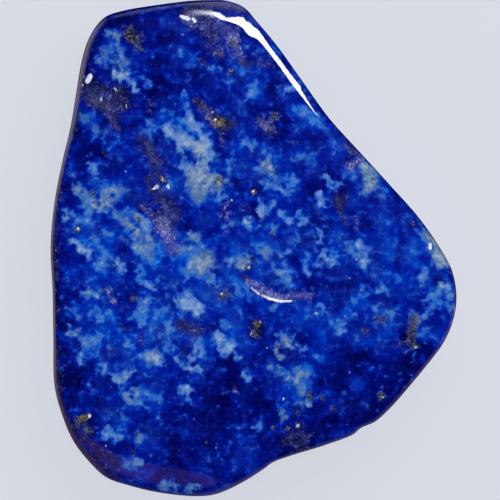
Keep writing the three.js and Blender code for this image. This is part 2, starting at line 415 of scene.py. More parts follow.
@dataclass
class StoneMesh:
    """The closed skin: a fine grid on the face, rings over the edges, and a coarser grid below."""

    form: StoneForm
    face_cells: int = 256
    upper_rings: int = 12
    lower_rings: int = 10
    flank_wear: float = 0.09
    wear_cell: float = 3.5
    wear_seed: int = 21
    wear_below: Limits = (0.0, 0.8)
    wear_above: Limits = (0.3, 1.2)
    crease_from: float = 0.6

    @staticmethod
    def disc(cells: int) -> tuple[Array, Array]:
        """A square grid bent into a disc: each square ring of it becomes an evenly stepped circle.

        Args:
            cells: Cells on a side of the grid.

        Returns:
            The share of the radius and the angle of each of its points, row by row.
        """
        line = np.linspace(-1.0, 1.0, cells + 1)
        b, a = np.meshgrid(line, line, indexing="ij")
        a, b = a.ravel(), b.ravel()
        sideways = np.abs(a) >= np.abs(b)
        side_angle = math.pi / 4.0 * np.where(sideways, b / np.where(a == 0.0, 1.0, a), 0.0)
        top_angle = math.pi / 4.0 * np.where(sideways, 0.0, a / np.where(b == 0.0, 1.0, b))
        angle = np.where(
            sideways,
            side_angle + np.where(a < 0.0, math.pi, 0.0),
            math.pi / 2.0 - top_angle + np.where(b < 0.0, math.pi, 0.0),
        )
        return np.maximum(np.abs(a), np.abs(b)), angle

    @staticmethod
    def border(cells: int) -> Indices:
        """The grid's border points, anticlockwise from its lower right corner.

        Args:
            cells: Cells on a side of the grid.

        Returns:
            4 * cells indices into the grid's points.
        """
        steps = np.arange(cells)
        row = cells + 1
        right = steps * row + cells
        top = cells * row + cells - steps
        left = (cells - steps) * row
        return np.concatenate([right, top, left, steps])

    @staticmethod
    def grid_faces(cells: int) -> Indices:
        """The grid's cells as four-sided faces that look along +Z.

        Args:
            cells: Cells on a side of the grid.

        Returns:
            cells squared rows of four indices.
        """
        steps = np.arange(cells)
        row = cells + 1
        first = (steps[:, None] * row + steps).ravel()
        return np.stack([first, first + 1, first + row + 1, first + row], axis=1)

    @staticmethod
    def band_faces(inner: Indices, outer: Indices) -> Indices:
        """Faces between two rings of as many points, facing out if inner is above outer."""
        return np.stack([inner, outer, np.roll(outer, -1), np.roll(inner, -1)], axis=1)

    @staticmethod
    def halving_faces(upper: Indices, lower: Indices) -> Indices:
        """Triangles between a ring and one of half as many points, three for each coarse edge.

        Args:
            upper: The finer ring's indices, anticlockwise.
            lower: The coarser ring's indices, starting in step with it.

        Returns:
            Rows of three indices.
        """
        even, odd, next_even = upper[0::2], upper[1::2], np.roll(upper, -2)[0::2]
        next_lower = np.roll(lower, -1)
        corners = ((even, lower, odd), (odd, lower, next_lower), (odd, next_lower, next_even))
        return np.concatenate([np.stack(three, axis=1) for three in corners])

    def rings(self, angle: Array, turns: Array, front: bool) -> Array:
        """Rings of points over an edge.

        Args:
            angle: Directions of a ring's points from the hub.
            turns: How far round the edge each ring is.
            front: Whether the rings are above the outline.

        Returns:
            (rings * points) x 3 places in mm.
        """
        turn = np.repeat(turns, len(angle))
        around = np.tile(angle, len(turns))
        return self.form.place(np.ones_like(turn), around, turn, front)

    def build(self) -> tuple[Array, list[Indices]]:
        """The whole skin: its parts' points one after the other, and the faces that join them.

        Returns:
            N x 3 points in mm, and the faces as arrays of rows of four or three indices.
        """
        cells, coarse = self.face_cells, self.face_cells // 2
        share, angle = self.disc(cells)
        face = self.form.place(share, angle, np.zeros_like(share), front=True)
        around = angle[self.border(cells)]
        upper_turns = np.arange(1, self.upper_rings + 1) / self.upper_rings
        upper = self.rings(around, upper_turns, front=True)
        half = around[0::2]
        lower_turns = 1.0 - np.arange(1, self.lower_rings) / self.lower_rings
        lower = self.rings(half, lower_turns, front=False)
        back_share, back_angle = self.disc(coarse)
        back = self.form.place(back_share, back_angle, np.zeros_like(back_share), front=False)

        start = np.cumsum([0, len(face), len(upper), len(lower)])
        upper_rows = np.arange(len(upper)).reshape(self.upper_rings, -1)
        lower_rows = np.arange(len(lower)).reshape(self.lower_rings - 1, -1)
        upper_rings = [self.border(cells), *(start[1] + upper_rows)]
        lower_rings = [*(start[2] + lower_rows), start[3] + self.border(coarse)]
        faces = [self.grid_faces(cells)]
        faces += [self.band_faces(a, b) for a, b in zip(upper_rings, upper_rings[1:])]
        faces.append(self.halving_faces(upper_rings[-1], lower_rings[0]))
        faces += [self.band_faces(a, b) for a, b in zip(lower_rings, lower_rings[1:])]
        faces.append(start[3] + self.grid_faces(coarse)[:, ::-1])
        points = np.concatenate([face, upper, lower, back])
        return self.worn(points), faces

    def creased(self, ends: NDArray[np.int32]) -> NDArray[np.bool_]:
        """Which of the mesh's edges run along the crease between the face and a ground facet.

        Args:
            ends: The two points of each edge, one edge after the other.

        Returns:
            Whether each edge is sharp.
        """
        border = self.border(self.face_cells)
        angle = self.disc(self.face_cells)[1][border]
        sharp = np.zeros(ends.max() + 1, dtype=bool)
        sharp[border] = self.form.rim.at(angle)[2] > self.crease_from
        return sharp[ends].reshape(-1, 2).all(axis=1)

    def worn(self, points: Array) -> Array:
        """Wears the flank below the outline unevenly, towards the hub by smooth noise.

        The wear fades out at the outline, so the outline seen from the front stays, and at the
        foot of the flank.

        Args:
            points: N x 3 places in mm.

        Returns:
            The worn points.
        """
        middle = self.form.thickness * self.form.rim_share
        height = points[:, 2]
        flank = smooth_step(middle - height, *self.wear_below)
        flank = flank * smooth_step(height, *self.wear_above)
        inward = self.flank_wear * (1.0 + cloud(points, self.wear_cell, self.wear_seed)) * flank
        ray = points[:, :2] - self.form.hub
        ray = ray / np.maximum(np.linalg.norm(ray, axis=1), TINY)[:, None]
        worn = points.copy()
        worn[:, :2] -= ray * inward[:, None]
        return worn


# -------------------------------------------------------------------------------------------------
# Where the minerals lie, and where light and shade are painted
# -------------------------------------------------------------------------------------------------


class Mineral(Enum):
    """The fields that the material reads, by the names of their attributes: minerals, and painted
    light.
    """

    CALCITE = "calcite"
    HAZE_AND_EDGE_LIGHT = "haze_and_edge_light"
    NAVY_AND_SHADE = "navy_and_shade"
    PITTED_AND_RIM_SHADE = "pitted_and_rim_shade"
    LILAC_AND_LIT_LIP = "lilac_and_lit_lip"
    OLIVE = "olive"
    GREY = "grey"
    PYRITE = "pyrite"
    # Painted highlights, not a mineral: where glints are painted near-white.
    PAINTED_GLINT = "painted_glint"


# Pale calcite on the face, from the narrow end to the heavy one.
CALCITE = (
    (0.25, 0.7, (-7.45, 11.2), (-7.1, 10.8), (-7.0, 10.3)),
    (0.27, 0.5, (-7.85, 10.6), (-7.95, 10.1), (-8.0, 9.7)),
    (0.25, 0.45, (-7.5, 10.5), (-7.5, 9.9)),
    (0.25, 0.75, (-6.85, 9.9), (-6.7, 9.4)),
    (0.26, 0.85, (-7.3, 9.15), (-7.0, 9.05), (-6.6, 8.95)),
    (0.24, 1.0, (-6.4, 8.5), (-6.1, 8.25)),
    (0.2, 0.65, (-5.75, 8.8), (-5.4, 8.65)),
    (0.18, 0.55, (-5.2, 9.85),),
    (0.2, 0.6, (-3.7, 10.25), (-3.6, 10.1)),
    (0.22, 0.5, (-3.2, 9.6),),
    (0.24, 0.65, (-2.25, 9.3), (-1.95, 9.25)),
    (0.2, 0.5, (-0.9, 9.35), (-0.5, 9.3)),
    (0.12, 0.5, (-1.3, 8.7), (-1.25, 8.15)),
    (0.3, 0.85, (0.05, 8.5), (0.05, 8.1), (-0.1, 7.9)),
    (0.2, 0.5, (1.65, 7.9), (1.75, 8.2)),
    (0.24, 0.8, (0.95, 6.85), (1.1, 6.8)),
    (0.2, 0.85, (1.9, 8.3), (2.3, 8.5)),
    (0.3, 0.55, (2.3, 7.2), (2.85, 7.0), (3.1, 6.8)),
    (0.22, 0.55, (3.65, 6.35), (4.0, 5.95)),
    (0.2, 0.35, (4.0, 5.3),),
    (0.25, 0.55, (-8.9, 6.95), (-8.4, 6.9)),
    (0.25, 0.55, (-8.3, 6.4), (-8.2, 5.9)),
    (0.2, 0.5, (-7.8, 6.0), (-7.7, 5.7)),
    (0.2, 0.6, (-7.5, 5.3), (-7.1, 5.35), (-6.85, 5.65)),
    (0.2, 0.72, (-8.45, 4.3), (-8.3, 4.05)),
    (0.17, 0.5, (-9.3, 4.1), (-9.15, 3.8)),
    (0.24, 0.62, (-5.45, 6.4), (-5.2, 6.05)),
    # the broken band on the left
    (0.32, 0.78, (-9.15, 3.05), (-8.85, 2.75), (-8.5, 2.45)),
    (0.4, 0.9, (-7.7, 3.15), (-7.25, 2.95)),
    (0.3, 0.8, (-7.8, 2.8), (-7.75, 2.4)),
    (0.2, 0.7, (-7.1, 3.4), (-6.9, 3.0)),
    (0.28, 0.78, (-8.4, 2.3), (-7.9, 2.15), (-7.5, 2.4)),
    (0.2, 0.5, (-7.4, 2.0), (-7.0, 1.8)),
    (0.3, 0.72, (-9.8, 1.75), (-9.3, 1.65)),
    (0.28, 0.72, (-9.05, 1.6), (-8.75, 1.6), (-8.6, 1.95)),
    (0.36, 0.72, (-6.85, 1.65), (-6.6, 1.15), (-6.3, 0.75)),
    (0.28, 0.65, (-6.2, 1.7), (-5.8, 1.5), (-5.65, 1.1)),
    (0.32, 0.7, (-6.15, 0.6), (-5.95, 0.25), (-5.85, -0.1)),
    (0.3, 0.7, (-5.6, 0.95), (-5.5, 0.5)),
    (0.38, 0.75, (-5.45, 0.0), (-5.35, -0.5)),
    (0.25, 0.6, (-6.0, -1.0), (-5.85, -1.7), (-5.5, -1.95)),
    (0.2, 0.8, (-5.6, -1.95), (-5.15, -2.05)),
    (0.2, 0.95, (-9.4, 0.4), (-9.1, 0.1), (-8.8, -0.2), (-8.5, -0.45)),
    (0.17, 0.7, (-9.1, 0.5), (-8.85, 0.15), (-8.6, -0.15)),
    (0.16, 0.45, (-7.8, 0.7), (-7.5, 0.6)),
    (0.26, 0.75, (-8.2, 0.3), (-7.85, -0.05), (-7.65, -0.35), (-7.8, -0.7), (-8.15, -0.95)),
    (0.3, 0.75, (-7.2, -0.95), (-6.95, -0.95)),
    (0.22, 0.4, (-9.85, -1.55), (-9.75, -1.7)),
    (0.27, 0.88, (-8.65, -2.3), (-8.3, -2.4)),
    (0.36, 0.92, (-5.65, -2.95), (-5.8, -3.3)),
    (0.2, 0.65, (-5.75, -3.6), (-5.8, -4.05)),
    (0.17, 0.6, (-6.2, -3.55),),
    # the big broken patch above the middle
    (0.2, 0.62, (-3.6, 8.1), (-3.45, 7.6)),
    (0.41, 0.94, (-3.3, 6.85), (-3.0, 6.35), (-2.7, 5.9), (-2.55, 5.4)),
    (0.38, 0.97, (-4.5, 6.3), (-4.2, 5.95), (-3.8, 5.65)),
    (0.36, 1.0, (-3.5, 5.55), (-3.1, 5.3), (-2.7, 5.2), (-2.5, 4.9)),
    (0.26, 0.92, (-2.6, 4.85), (-2.6, 4.6)),
    (0.2, 0.75, (-3.75, 5.1), (-3.65, 4.8)),
    (0.26, 0.85, (-3.7, 4.3), (-3.35, 4.0)),
    (0.4, 1.0, (-3.1, 4.3), (-2.55, 4.0)),
    (0.66, 1.0, (-2.85, 3.7), (-2.75, 3.3)),
    (0.44, 1.0, (-2.3, 3.6), (-1.75, 3.45)),
    (0.36, 0.75, (-3.1, 2.85), (-2.9, 2.5)),
    (0.24, 0.7, (-1.8, 2.95), (-1.7, 2.75)),
    (0.16, 0.5, (-4.5, 7.2),),
    (0.26, 0.75, (-0.4, 5.55), (-0.1, 5.3)),
    (0.25, 0.55, (-1.25, 4.5), (-1.3, 4.1)),
    (0.18, 0.6, (0.45, 5.45), (0.5, 5.1)),
    (0.3, 0.8, (0.65, 4.5), (0.75, 4.1), (0.95, 3.85)),
    (0.28, 0.72, (0.7, 3.4), (1.2, 3.2), (1.5, 3.0)),
    (0.22, 0.72, (2.05, 3.65), (2.3, 3.5)),
    (0.24, 0.4, (2.3, 4.8), (2.9, 4.6)),
    (0.3, 0.76, (3.85, 3.6), (4.1, 3.4)),
    (0.42, 1.0, (5.75, 4.3), (6.1, 3.8), (6.05, 3.1)),
    (0.2, 0.5, (6.6, 2.6), (6.9, 2.3)),
    # the middle
    (0.2, 0.78, (-3.4, 0.85), (-3.05, 0.5), (-2.75, 0.15)),
    (0.28, 0.8, (-4.1, 0.0), (-3.7, -0.1), (-3.3, -0.2)),
    (0.46, 1.0, (-3.15, -0.7), (-2.75, -0.7), (-2.35, -0.65)),
    (0.34, 0.95, (-3.1, -1.05), (-2.8, -1.2)),
    (0.22, 0.66, (-2.35, -1.25), (-2.15, -1.45), (-2.2, -1.7)),
    (0.18, 0.6, (-3.7, -1.05), (-3.45, -1.35)),
    (0.32, 0.84, (-1.2, -0.75), (-0.9, -0.7), (-0.55, -0.7)),
    (0.22, 0.9, (-0.4, 1.35), (-0.27, 1.1), (-0.3, 0.85)),
    (0.14, 0.65, (-0.1, 1.15), (0.2, 1.1)),
    (0.26, 0.8, (0.5, 2.2), (0.6, 1.85), (1.0, 1.95)),
    (0.2, 0.4, (-1.6, 1.3), (-1.3, 1.2)),
    (0.3, 0.68, (0.5, -0.2), (0.75, -0.4)),
    (0.24, 0.6, (-0.8, -1.8), (-0.4, -2.05)),
    (0.2, 0.82, (1.55, 1.7), (1.9, 1.35)),
    (0.24, 0.78, (2.45, 1.7), (2.65, 1.25)),
    (0.33, 0.9, (3.5, 2.55), (3.7, 2.3)),
    (0.2, 0.7, (3.4, 0.85), (3.5, 0.2)),
    (0.16, 0.4, (2.2, 0.6),),
    (0.22, 0.62, (1.3, -0.25), (1.6, -0.2)),
    (0.3, 0.92, (3.45, -0.5), (3.8, -0.62), (4.15, -0.65)),
    (0.2, 0.6, (4.35, -0.15),),
    (0.2, 0.62, (2.6, -0.3), (2.72, -0.7)),
    (0.22, 0.75, (2.75, -1.0), (2.8, -1.2)),
    (0.28, 0.78, (1.25, -1.15), (1.8, -1.1)),
    (0.25, 0.55, (1.7, -1.5), (1.75, -1.85)),
    (0.24, 0.55, (5.0, 0.3), (5.2, -0.2)),
    (0.3, 0.85, (5.7, 0.3), (5.75, -0.25), (5.75, -0.85)),
    (0.24, 0.6, (7.5, -1.8),),
    (0.28, 0.75, (6.4, -2.1), (6.75, -2.05)),
    (0.24, 0.75, (8.9, -1.25), (8.8, -1.7)),
    (0.2, 0.75, (8.5, 0.95), (8.85, 0.68), (9.25, 0.42)),
    (0.36, 1.0, (9.4, 0.25), (9.7, -0.2), (9.95, -0.7)),
    (0.3, 0.9, (9.5, -0.5), (9.9, -0.85)),
    (0.3, 0.85, (9.5, -2.25), (9.9, -2.1), (10.2, -2.4)),
    (0.26, 0.75, (9.2, -2.6), (9.6, -2.55)),
    (0.18, 0.7, (10.25, -2.6), (10.3, -3.3)),
    (0.22, 0.6, (9.6, -3.05), (9.2, -3.1)),
    (0.24, 0.65, (8.35, -3.4), (8.6, -3.8)),
    (0.24, 0.6, (8.9, -3.7), (9.1, -3.5)),
    (0.2, 0.55, (8.8, -5.0),),
    (0.26, 0.5, (5.7, -2.1), (5.75, -2.4), (5.4, -2.7)),
    (0.2, 0.55, (6.4, -3.1), (6.2, -3.3)),
    (0.24, 0.6, (8.7, -4.4), (9.0, -4.35)),
    (0.17, 0.82, (3.55, -2.9), (3.7, -3.2)),
    (0.27, 0.8, (4.2, -3.8), (4.55, -3.95), (4.6, -4.25)),
    (0.2, 0.7, (5.2, -3.35), (5.3, -3.5)),
    (0.2, 0.55, (0.9, -3.05), (1.1, -3.05)),
    # below the middle
    (0.3, 0.95, (-3.55, -2.5), (-3.4, -2.7), (-3.25, -2.9)),
    (0.16, 0.7, (-4.05, -2.7),),
    (0.4, 1.0, (-3.6, -3.0), (-3.2, -3.05), (-2.85, -3.25)),
    (0.22, 0.65, (-4.6, -3.1), (-4.8, -3.3)),
    (0.22, 0.75, (-4.4, -3.9), (-4.3, -4.5)),
    (0.24, 0.84, (-2.85, -4.75), (-2.85, -5.1), (-2.75, -5.5)),
    (0.18, 0.66, (-3.9, -5.75), (-3.3, -5.75), (-2.5, -5.85)),
    (0.2, 0.6, (-4.6, -5.35), (-4.2, -5.15)),
    (0.22, 0.75, (-3.6, -6.1), (-3.3, -6.3), (-2.8, -6.35)),
    (0.35, 1.0, (-3.7, -7.4), (-3.6, -7.55)),
    (0.18, 0.66, (-3.2, -7.4), (-3.0, -7.4)),
    (0.2, 0.7, (-1.6, -3.9),),
    (0.38, 1.0, (-1.75, -4.55), (-1.5, -4.9), (-1.15, -5.15)),
    (0.24, 0.85, (-1.8, -5.2), (-1.55, -5.25)),
    (0.2, 0.6, (-1.0, -5.55), (-0.6, -5.75)),
    (0.24, 0.78, (-0.45, -6.65), (-0.15, -6.95)),
    (0.33, 0.55, (-9.3, -3.2), (-9.1, -3.4)),
    (0.2, 0.7, (-8.3, -3.35), (-8.1, -3.65), (-7.95, -3.9)),
    (0.2, 0.7, (-7.65, -3.35),),
    (0.28, 0.62, (-9.5, -4.2), (-9.15, -4.5), (-8.9, -4.75)),
    (0.28, 0.95, (-8.65, -4.8), (-8.25, -4.9)),
    (0.3, 0.62, (-9.1, -5.45), (-9.0, -5.75)),
    (0.28, 0.55, (-8.8, -5.35), (-8.4, -5.5)),
    (0.24, 0.8, (-6.6, -4.9), (-6.4, -5.0)),
    (0.42, 1.0, (-5.5, -5.5), (-5.25, -5.8)),
    (0.26, 0.88, (-5.05, -6.15),),
    (0.24, 0.75, (-7.9, -6.1), (-7.8, -6.35)),
    (0.26, 0.82, (-7.35, -6.5), (-7.0, -6.75), (-6.9, -6.9)),
    (0.28, 0.9, (-6.75, -6.55), (-6.35, -6.35)),
    (0.16, 0.5, (-6.9, -7.1), (-6.85, -7.3)),
    (0.36, 0.9, (-6.4, -7.65), (-6.0, -7.75)),
    (0.28, 0.68, (-5.8, -7.8), (-5.4, -7.6), (-5.2, -7.7)),
    (0.11, 0.75, (-6.3, -8.15), (-5.6, -8.2), (-4.95, -8.15)),
    (0.22, 0.5, (-8.6, -7.1), (-8.3, -7.2)),
    (0.22, 0.55, (-6.95, -8.5), (-6.9, -8.8), (-6.85, -9.3)),
    (0.18, 0.55, (-5.1, -8.85),),
    (0.27, 0.85, (-7.55, -9.6), (-7.4, -9.8), (-7.05, -10.0)),
    (0.2, 0.62, (-5.95, -9.75), (-5.8, -10.25)),
    (0.28, 0.85, (-6.6, -11.15), (-6.2, -11.25), (-5.9, -11.3)),
    (0.24, 0.8, (-4.65, -12.45), (-4.15, -12.35)),
    (0.26, 0.85, (-3.5, -12.6), (-3.0, -12.6)),
    (0.3, 0.72, (0.15, -9.25), (0.25, -9.3)),
    (0.16, 0.66, (-0.65, -9.45),),
    (0.33, 0.97, (1.55, -4.6), (1.85, -4.85)),
    (0.24, 0.8, (1.3, -5.1), (1.3, -5.4)),
    (0.24, 0.68, (1.3, -5.7), (1.5, -5.8)),
    (0.22, 0.66, (2.4, -5.25), (2.8, -5.3)),
    (0.2, 0.7, (3.3, -5.6), (3.6, -5.7)),
    (0.2, 0.6, (0.8, -6.1), (1.3, -6.5), (1.7, -6.6)),
    (0.34, 0.82, (2.5, -6.6), (2.8, -6.55)),
    (0.26, 0.92, (2.0, -6.85), (2.35, -6.95)),
    (0.25, 0.75, (2.4, -8.0), (2.8, -8.15)),
    (0.25, 0.7, (1.5, -8.6), (1.6, -9.0)),
    (0.17, 0.7, (6.3, -6.2),),
    (0.16, 0.6, (8.3, -5.5), (8.3, -5.8)),
    (0.1, 0.55, (8.25, -5.9), (8.2, -6.45), (8.1, -6.8)),
    (0.3, 0.8, (-5.9, 1.6), (-5.5, 1.25), (-5.4, 0.9)),
    (0.28, 0.75, (-6.05, -0.1), (-5.95, -0.45)),
    (0.2, 0.7, (0.95, 2.25),),
    (0.22, 0.55, (2.0, 3.35),),
    (0.24, 0.6, (1.15, 2.15),),
    (0.22, 0.6, (2.6, -7.5),),
    (0.22, 0.55, (-0.85, -2.2),),
    (0.2, 0.5, (1.75, 0.1),),
    (0.22, 0.6, (8.9, 1.05), (9.2, 0.75)),
    (0.4, 1.0, (-2.75, 3.8),),
    (0.3, 0.85, (-3.2, -3.1),),
    (0.24, 0.6, (0.95, 1.1), (1.0, 0.85)),
    (0.3, 1.0, (-2.8, 3.95), (-2.6, 3.85)),
    (0.26, 0.95, (-3.35, -2.8), (-3.1, -2.95)),
    (0.24, 0.8, (-1.85, 3.85),),
    (0.3, 1.0, (-1.75, -4.75), (-1.6, -5.05)),
)

# Blue gaps in the calcite.
CLEAR = (
    (0.28, 1.0, (-3.15, 4.7),),
    (0.16, 1.0, (-3.75, 6.35), (-3.45, 6.0), (-3.1, 5.8)),
    (0.1, 0.8, (-3.45, 4.95),),
    (0.24, 1.0, (-2.2, 4.4), (-2.05, 4.15)),
    (0.22, 1.0, (-8.35, 3.2), (-8.1, 3.05)),
    (0.09, 0.9, (-8.4, 2.45),),
    (0.08, 0.9, (-8.65, 2.2),),
    (0.13, 0.9, (-6.5, 0.75), (-6.35, 0.85)),
    (0.12, 0.9, (-6.35, 1.3),),
    (0.1, 0.8, (-5.95, 0.3),),
    (0.1, 0.8, (-5.75, -0.45),),
    (0.16, 0.9, (9.6, -2.6),),
    (0.12, 0.8, (1.1, 3.6), (1.4, 3.65)),
    (0.1, 0.8, (-2.75, -1.25), (-2.65, -1.1)),
    (0.2, 0.9, (-7.3, 8.6), (-6.8, 8.6)),
)
